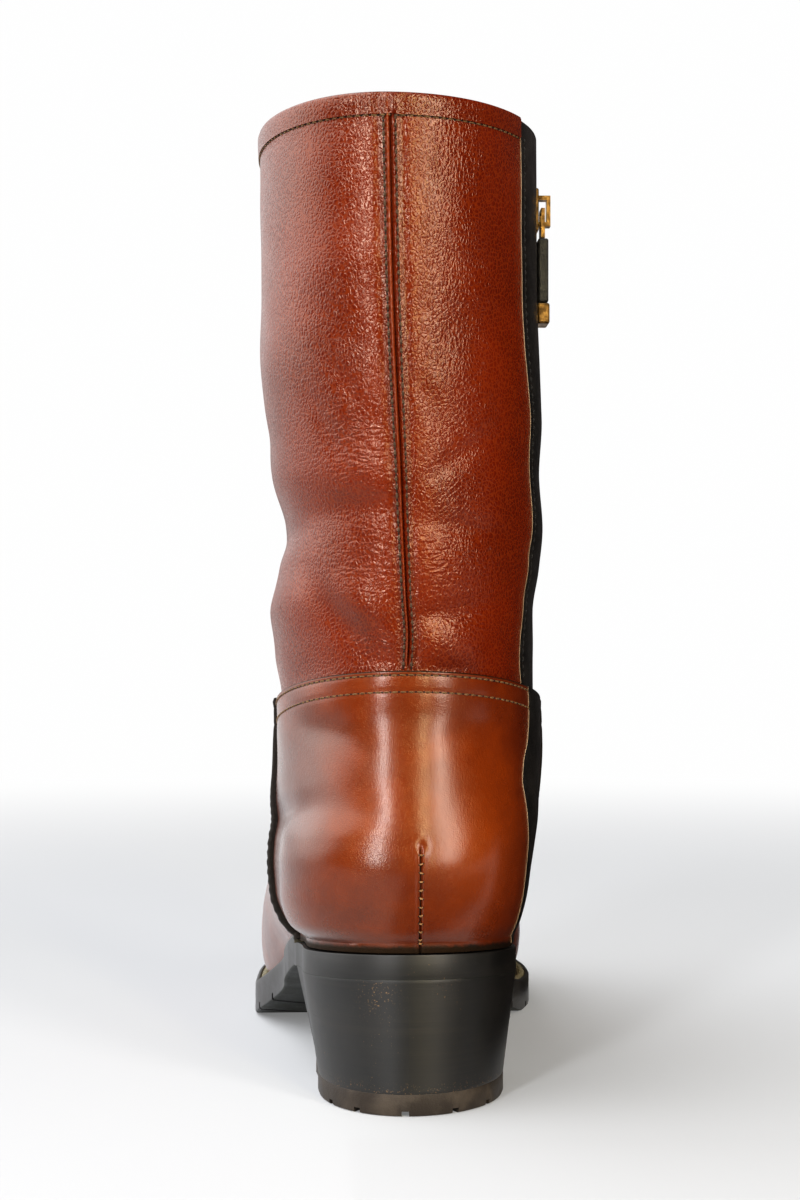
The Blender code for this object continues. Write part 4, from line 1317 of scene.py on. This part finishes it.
def face_table(piece):
    """Middles (in millimetres from the heel's back) and normals of a piece's faces."""
    count = len(piece.data.polygons)
    middles = np.zeros(count * 3)
    normals = np.zeros(count * 3)
    piece.data.polygons.foreach_get("center", middles)
    piece.data.polygons.foreach_get("normal", normals)
    return middles.reshape(-1, 3) / MM - SHIFT, normals.reshape(-1, 3)


CUT_SHARP_DEG = 35.0

# Sole's edge from below: inset, share of the sole's thickness, lift
SOLE_RINGS = ((1.1, 0.0, 0.0), (0.5, 0.0, 0.12), (0.12, 0.0, 0.5), (0.0, 0.0, 1.1), (0.0, 1.0, -0.5),
              (0.15, 1.0, -0.12), (0.5, 1.0, 0.0))
# Groove in section: ahead and up, as shares of its width and depth
GROOVE_SECTION = ((-0.56, -1.0), (0.56, -1.0), (0.44, 0.75), (0.3, 1.0), (-0.3, 1.0), (-0.44, 0.75))


def add_outsole(tread, edge, heel):
    """Sole with rounded edges and chevron grooves."""
    turns = np.linspace(0, math.pi, 171)
    margin = sole_margin(turns)
    ahead = [ease((outline(side, margin)[:, 1] - BREAST_TOP_Y - 1.0) / 6.0)
             for side in (turns, 2 * math.pi - turns)]
    rings = []
    for inset, share, lift in SOLE_RINGS:
        margins = [margin - inset * (1 - side if share else side) for side in ahead]
        rings.append(rungs_at(turns, margins, lambda y, share=share, lift=lift:
                              sole_bottom(y) + share * (sole_top(y) - sole_bottom(y)) + lift))
    piece = add_stack("outsole_tread", np.stack(rings), [tread, edge, heel])
    x = np.linspace(-GROOVE_REACH, GROOVE_REACH, 25)
    grooves = []
    for groove in range(GROOVE_COUNT):
        y = GROOVE_FIRST_Y + groove * GROOVE_STEP - GROOVE_SWEEP * np.abs(x)
        corners = []
        for forward, up in GROOVE_SECTION:
            edge_y = y + forward * GROOVE_WIDTH
            corners.append(np.stack((x, edge_y, sole_bottom(edge_y) + up * GROOVE_DEPTH), axis=-1))
        grooves.append(np.stack(corners, axis=1))
    cut(piece, grooves)
    middles, normals = face_table(piece)
    under = (normals[:, 2] < -0.55) | (middles[:, 2] < sole_bottom(middles[:, 1]) + 0.3)
    smooth(piece, np.where(under, 0, np.where(middles[:, 1] < BREAST_TOP_Y + 1.0, 2, 1)), CUT_SHARP_DEG)
    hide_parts("outsole")


def heel_rungs(share, inset, height):
    """Rungs of the heel at a share of its height, where 1 is under the sole, drawn in by an inset."""
    breast = BREAST_BOTTOM_Y + (BREAST_TOP_Y - BREAST_BOTTOM_Y) * share - inset
    turns = np.linspace(0, float(turn_at(0.0, breast)), 71)
    margins = []
    for side in ("l", "m"):
        taper = HEEL_TAPER["back"] + (HEEL_TAPER[side] - HEEL_TAPER["back"]) * ease(turns / turns[-1])
        margins.append(sole_margin(turns) - taper * (1 - share) - inset)
    return rungs_at(turns, margins, height)


# Wear layer from above: inset and height; and its tread notches
LIFT_RINGS = ((0.08, TOP_LIFT_THICK), (0.0, TOP_LIFT_THICK - 0.2), (0.0, 0.9), (0.25, 0.25), (0.9, 0.0))
NOTCH_TURN_DEG = (-58.0, -32.0, -2.0, 28.0, 56.0)
NOTCH_HALF_WIDTH = 1.1
NOTCH_HEIGHT = 1.6
NOTCH_MIDDLE_Y = 31.0
NOTCH_REACH = (18.0, 42.0)


def add_heel(burnish, lift):
    """Stacked heel, and its wear layer with tread notches."""
    low = TOP_LIFT_THICK
    steps = [(1.0, 0.06), (0.994, 0.0)] + [(share, 0.0) for share in np.linspace(0.97, 0.03, 24)]
    steps += [(0.006, 0.0), (0.0, 0.06)]
    rings = []
    for share, inset in steps:
        rings.append(heel_rungs(share, inset, lambda y, share=share: low + share * (sole_bottom(y) - low)))
    block = add_stack("heel_stack", np.stack(rings), [burnish])
    places = np.array([vertex.co for vertex in block.data.vertices]) / MM - SHIFT
    rubbed = bell(places[:, 2] - low, 2.2) * 0.8
    rubbed += bell(places[:, 0] + 9.0, 5.0) * bell(places[:, 2] - 36.0, 6.0)
    paint(block, np.stack((rubbed, 0 * rubbed, 0 * rubbed), axis=-1))
    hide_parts("heel_block")
    rings = [heel_rungs(0.0, inset, lambda y, up=up: np.full(len(y), up)) for inset, up in LIFT_RINGS]
    piece = add_stack("heel_lift", np.stack(rings), [lift])
    notches = []
    for degrees in NOTCH_TURN_DEG:
        turn = math.radians(degrees)
        outward = np.array((math.sin(turn), -math.cos(turn), 0.0))
        across = np.array((math.cos(turn), math.sin(turn), 0.0)) * NOTCH_HALF_WIDTH
        up = np.array((0.0, 0.0, NOTCH_HEIGHT))
        ends = [np.array((0.0, NOTCH_MIDDLE_Y, 0.0)) + outward * reach for reach in NOTCH_REACH]
        notches.append(np.array([(end - across - up, end + across - up, end + across + up, end - across + up)
                                 for end in ends]))
    cut(piece, notches)
    smooth(piece, np.zeros(len(piece.data.polygons)), CUT_SHARP_DEG)
    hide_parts("top_lift")


def strip_frame(level, turn, out):
    """A place on the zip's line with its outward, upward and sideways directions."""
    place = form(level, turn, out)
    normal = skin_normal(level, turn)
    up = unit(skin(np.clip(level + 0.01, 0, COLLAR), turn) - skin(np.clip(level - 0.01, 0, COLLAR), turn))
    return place, normal, up, np.cross(up, normal)


TOOTH = ((-0.55, 1.0), (0.35, 1.0), (0.8, 0.62))     # a tooth's height and size as rings
TOOTH_CORNERS = ((-1.8, -0.62), (1.8, -0.62), (1.8, 0.62), (-1.8, 0.62))
TOOTH_COUNT = 102


def add_teeth(brass):
    """Interlocked zip teeth, turn and turn about from each side."""
    levels = levels_by_height(ZIP_BOTTOM + ZIP_LAP, CHAIN_TOP, TOOTH_COUNT)
    place, normal, up, side = strip_frame(levels, np.full(len(levels), ZIP_TURN), np.full(len(levels), -1.3))
    sides = np.where(np.arange(len(levels)) % 2 == 0, 1.0, -1.0)[:, None]
    place = place + side * sides * 0.75
    rings = []
    for rise, size in TOOTH:
        corners = []
        for across, along in TOOTH_CORNERS:
            corners.append(place + normal * rise * 1.2 + side * across * size + up * along * size)
        rings.append(np.stack(corners, axis=1))
    points = np.stack(rings, axis=1)
    each = len(TOOTH) * 4
    tooth = grid_faces(len(TOOTH), 4, True) + [(3, 2, 1, 0), (each - 4, each - 3, each - 2, each - 1)]
    piece = add_mesh("zip_teeth", points, repeated(tooth, each, TOOTH_COUNT), [brass])
    even_normals(piece)
    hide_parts("zip_chain")


def facing_turns(levels, shares):
    """Turns across the zip facing, from its front edge at share 0 to its back border at share 1."""
    front = FACING_HALF / (depth_at(levels) / 2)
    back = smooth_curve(FACING_LEVEL, FACING_TURN, levels)
    return ZIP_TURN - front + (front + back) * shares


def add_facing(black, edge):
    """Black facing round the zip, with pale cut edges."""
    below = (10.03, 10.09, 10.15, 10.21, 10.28)
    levels = np.concatenate((below, levels_by_height(ZIP_BOTTOM, COLLAR - 0.02, 90)))
    front, back = facing_turns(levels, 0.0), facing_turns(levels, 1.0)
    half = SLOT_HALF / (depth_at(levels) / 2)
    ahead = [np.linspace(low, high, 11) for low, high in zip(front, ZIP_TURN - half)]
    slot = [np.linspace(-size, size, 8)[1:-1] + ZIP_TURN for size in half]
    behind = [np.linspace(low, high, 29) for low, high in zip(ZIP_TURN + half, back)]
    turns = np.concatenate((ahead, slot, behind), axis=1)
    cells = {(row, column) for row in np.flatnonzero(levels >= ZIP_BOTTOM) for column in range(10, 17)}
    grid = levels[:, None]
    edges = np.minimum(turns - front[:, None], back[:, None] - turns) * depth_at(grid) / 2
    lift = FACING_THICK + rounded_step(np.clip(edges, 0, None), 0.25)
    inner = upper_face(grid, turns, np.full(turns.shape, 0.04))
    piece = add_plate("zip_facing", upper_face(grid, turns, lift), inner, [black, edge], cells)


def add_medial_shade_panel(black, edge):
    """Black sheet over the back panel's medial end, below the zip: painted shade, darkening that end where it
    lies in shade.
    """
    levels = levels_by_height(SHADE_PANEL_LEVEL[0], SHADE_PANEL_LEVEL[-1], 70)[:, None]
    front = -turn_at(levels, counter_edge_y(levels)) + 0.012
    back = smooth_curve(SHADE_PANEL_LEVEL, SHADE_PANEL_TURN, levels) - math.pi / 2
    turns = front + (back - front) * np.linspace(0, 1, 31)[None, :]
    lift = SHADE_PANEL_THICK + rounded_step((back - turns) * AROUND, 0.25)
    inner = counter_face(levels, turns, np.full(turns.shape, 0.03))
    piece = add_plate("medial_shade_panel", counter_face(levels, turns, lift), inner, [black, edge])


# Collar's binding in section: levels below the rim, out from the upper's face, and up
COLLAR_SECTION = ((-0.24, 0.5, 0.0), (-0.1, 0.62, 0.0), (0.0, 0.62, 0.0), (0.0, 0.35, 0.75), (0.0, -0.4, 1.1),
                  (0.0, -1.8, 1.1), (0.0, -2.6, 0.7), (0.0, -2.8, 0.0), (-0.24, -2.75, 0.0))


def collar_turns(gap, count):
    """Turns round the collar from one border of the zip's facing to the other, with a gap at each end."""
    start = float(facing_turns(COLLAR, 1.0)) + gap
    return np.linspace(start, float(facing_turns(COLLAR, 0.0)) + 2 * math.pi - gap, count)


def add_collar(leather):
    """Turned binding over the collar's rim, from one side of the zip to the other."""
    turns = collar_turns(0.006, 240)
    sections = []
    for drop, out, up in COLLAR_SECTION:
        level = np.full(len(turns), COLLAR + drop)
        base = upper_relief(level, turns) if out > 0.4 else np.zeros(len(turns))
        sections.append(form(level, turns, base + out) + np.array((0.0, 0.0, up)))
    piece = add_sweep("collar_binding", np.stack(sections, axis=1), [leather])
    paint(piece, np.tile((0.0, 0.15, 0.0), (len(piece.data.vertices), 1)))


def show_node(name, material, bevel=0.0):
    """Shows a node of the part with a material, and with rounded edges if a width is given."""
    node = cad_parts[name]
    node.data.materials.clear()
    node.data.materials.append(material)
    if bevel:
        change = node.modifiers.new("rounded edges", "BEVEL")
        change.width = bevel * MM
        change.segments = 2
        change.limit_method = "ANGLE"
        change.angle_limit = math.radians(40.0)


def add_boot():
    """All pieces of the boot."""
    shaft = shaft_leather()
    vamp = smooth_leather("vamp_leather", (0.18, 0.036, 0.007), (0.105, 0.019, 0.005), 0.28, 0.38, 0.9,
                          (1.0, 0.9, 0.8))
    counter = smooth_leather("counter_leather", (0.160, 0.0225, 0.0007), (0.105, 0.0128, 0.0006), 0.25, 0.35,
                             0.75, (1.0, 0.55, 0.24))
    inside = lining()
    dark_edge = raw_edge("dark_edge", (0.010, 0.007, 0.005), 2.2)
    pale_edge = raw_edge("pale_edge", (0.42, 0.30, 0.19), 0.6)
    # painted shade: the needle holes are dark caps standing in for the shade inside them
    hole = plain("needle_hole", (0.012, 0.006, 0.004), 0.9)
    khaki = thread("khaki_thread", (0.21, 0.125, 0.050), (0.085, 0.042, 0.016))
    tan = thread("tan_thread", (0.42, 0.24, 0.10), (0.20, 0.095, 0.035))
    dark_thread = thread("dark_thread", (0.135, 0.078, 0.044), (0.045, 0.024, 0.014))
    black_thread = thread("black_thread", (0.03, 0.028, 0.026), (0.010, 0.009, 0.008))
    olive_thread = thread("olive_thread", (0.30, 0.27, 0.18), (0.10, 0.085, 0.05))
    burnish = heel_leather()
    satin = sole_edge()
    tread = rubber("tread_rubber", (0.010, 0.012, 0.009), (0.035, 0.036, 0.029), 0.45, 0.65)
    lift = rubber("lift_rubber", (0.028, 0.021, 0.016), (0.060, 0.047, 0.036), 0.45, 0.62)
    brass = old_brass()
    black = black_leather()

    add_upper(shaft, vamp, inside, dark_edge)
    add_counter(counter, dark_edge)
    add_counter_edges(dark_edge)
    add_collar(shaft)
    add_welt(welt_leather(), satin, raw_edge("welt_cream", (0.52, 0.42, 0.28), 0.75))
    add_welt_ribs(olive_thread)
    add_outsole(tread, satin, burnish)
    add_heel(burnish, lift)
    add_facing(black, pale_edge)
    add_medial_shade_panel(black, pale_edge)
    add_teeth(brass)
    rows = stitch_paths()
    add_stitch_rows("back_seam_stitches", rows["back_seam_stitches"], dark_thread, hole, radius=0.42)
    for name, sewing, slot_name in (("counter_stitches", khaki, "counter_leather"),
                                    ("vamp_stitches", khaki, "upper_leather"),
                                    ("facing_stitches", black_thread, "pull_leather"),
                                    ("collar_stitches", khaki, "upper_leather")):
        add_stitch_rows(name, rows[name], sewing, hole)
    add_dart_stitches(tan, hole)

    show_node("insole", inside)
    show_node("zip_tape", woven_tape())
    show_node("zip_slider", brass, 0.25)
    show_node("zip_pull_link", brass, 0.15)
    show_node("zip_pull_tab", black, 0.25)
    show_node("zip_pull_end", brass, 0.25)


WHITE = (1.0, 1.0, 1.0, 1.0)
SEEN_WHITE = 0.83        # how bright the camera sees the far floor and the room
LIGHT_AIM = (0.0, -0.09, 0.13)   # the boot's back, in metres
STRIP_DISTANCE = 1.3
STRIP_HEIGHT = 0.62
STRIP_LENGTH = 1.1


def add_floor():
    """Pale floor that turns to even white far from the boot."""
    corners = ((-4000, -420, 0), (4000, -420, 0), (4000, 5000, 0), (-4000, 5000, 0))
    floor = add_mesh_only("studio_floor", corners, [(0, 1, 2, 3)])
    material, tree, shader, place = new_material("studio_floor", roughness=0.7)
    floor.data.materials.append(material)
    mottle = noise(tree, place, 300.0, 2.0)
    tone = mix(tree, mottle, (0.435, 0.446, 0.468), (0.455, 0.466, 0.488))
    tree.links.new(tone, shader.inputs["Base Color"])
    away = put(tree, "VectorMath", {0: place}, operation="LENGTH").outputs["Value"]
    glow = put(tree, "Emission", {"Color": WHITE, "Strength": SEEN_WHITE})
    share = span(tree, away, 0.3, 1.4, 0.2, 1.0)
    blend = put(tree, "MixShader", {0: share, 1: shader.outputs[0], 2: glow.outputs[0]})
    tree.links.new(blend.outputs[0], tree.nodes["Material Output"].inputs["Surface"])


def add_world():
    """Studio that is white at the boot's lateral side, and dark behind the camera and at the medial side."""
    world = bpy.data.worlds.new("studio")
    bpy.context.scene.world = world
    world.use_nodes = True
    tree = world.node_tree
    tree.nodes.clear()
    axes = put(tree, "SeparateXYZ", {0: put(tree, "TexCoord").outputs["Generated"]}).outputs
    lateral = span(tree, axes["X"], -0.3, 0.02, 1.0, 0.0)
    ahead = span(tree, plus(tree, axes["Y"], axes["Z"]), -0.25, 0.1, 0.0, 1.0)
    far = span(tree, axes["Y"], 0.3, 0.95, 1.65, 0.6)
    low = span(tree, axes["Z"], 0.0, 0.25, 1.0, 1.7)
    white = times(tree, times(tree, lateral, ahead), times(tree, far, low))
    room = put(tree, "Background", {"Color": WHITE, "Strength": plus(tree, white, 0.03)})
    seen = put(tree, "Background", {"Color": WHITE, "Strength": SEEN_WHITE})
    camera = put(tree, "LightPath").outputs["Is Camera Ray"]
    both = put(tree, "MixShader", {0: camera, 1: room.outputs[0], 2: seen.outputs[0]})
    output = put(tree, "OutputWorld")
    tree.links.new(both.outputs[0], output.inputs["Surface"])


def add_card(name, corners, material):
    """Card that shows only in reflections."""
    card = add_mesh_only(name, corners, [(0, 1, 2, 3)])
    card.data.materials.append(material)
    card.visible_camera = False
    card.visible_diffuse = False
    card.visible_shadow = False


def add_dark_cards():
    """Dark cards at the medial side and on the floor behind the heel."""
    dark = plain("dark_card", (0.02, 0.006, 0.004), 0.6)
    add_card("dark_card", ((66, 8, 0.4), (66, 230, 0.4), (66, 230, 330), (66, 8, 330)), dark)
    add_card("floor_flag", ((-18, -1500, 0.8), (300, -1500, 0.8), (300, -22, 0.8), (-18, -22, 0.8)), dark)


def add_light(name, angle_deg, distance, height, size, power, colour):
    """Area light round the boot at an angle from straight behind it, lateral positive, aimed at its back."""
    light = bpy.data.lights.new(name, "AREA")
    light.shape = "RECTANGLE"
    light.size, light.size_y = size
    light.energy = power
    light.color = colour
    lamp = bpy.data.objects.new(name, light)
    bpy.context.scene.collection.objects.link(lamp)
    angle = math.radians(angle_deg)
    lamp.location = (-distance * math.sin(angle), LIGHT_AIM[1] - distance * math.cos(angle), height)
    aim = Vector(LIGHT_AIM) - lamp.location
    lamp.rotation_euler = aim.to_track_quat("-Z", "Y").to_euler()


# Tall strip lights behind the boot: angle, width, power, colour
STRIPS = {
    "strip_lateral": (26.0, 0.14, 11.5, (1.0, 1.0, 1.0)),
    "strip_golden": (-19.0, 0.10, 6.0, (1.0, 0.86, 0.50)),
    "strip_medial": (-36.0, 0.28, 11.5, (1.0, 0.92, 0.82)),
}


def add_lights():
    """The strip lights, and a wide soft one above."""
    for name, (angle_deg, width, power, colour) in STRIPS.items():
        add_light(name, angle_deg, STRIP_DISTANCE, STRIP_HEIGHT, (width, STRIP_LENGTH), power, colour)
    add_light("overhead", 40.0, 0.4, 1.6, (1.4, 1.4), 8.0, WHITE[:3])


def add_camera():
    """Camera straight behind the boot at the photo's height and distance."""
    camera = bpy.data.cameras.new("camera")
    camera.sensor_fit = "VERTICAL"
    camera.sensor_height = 36.0
    camera.lens = 55.5
    camera.shift_y = 0.047
    camera.clip_start = 0.01
    piece = bpy.data.objects.new("camera", camera)
    bpy.context.scene.collection.objects.link(piece)
    piece.location = (np.array((-24.4, -540.7, 135.0)) + SHIFT) * MM
    piece.rotation_euler = (math.radians(90.0), 0.0, math.radians(-2.3))
    bpy.context.scene.camera = piece


add_boot()
add_floor()
add_world()
add_dark_cards()
add_lights()
add_camera()
bpy.context.scene.view_settings.view_transform = "Standard"
bpy.context.scene.view_settings.look = "Medium High Contrast"
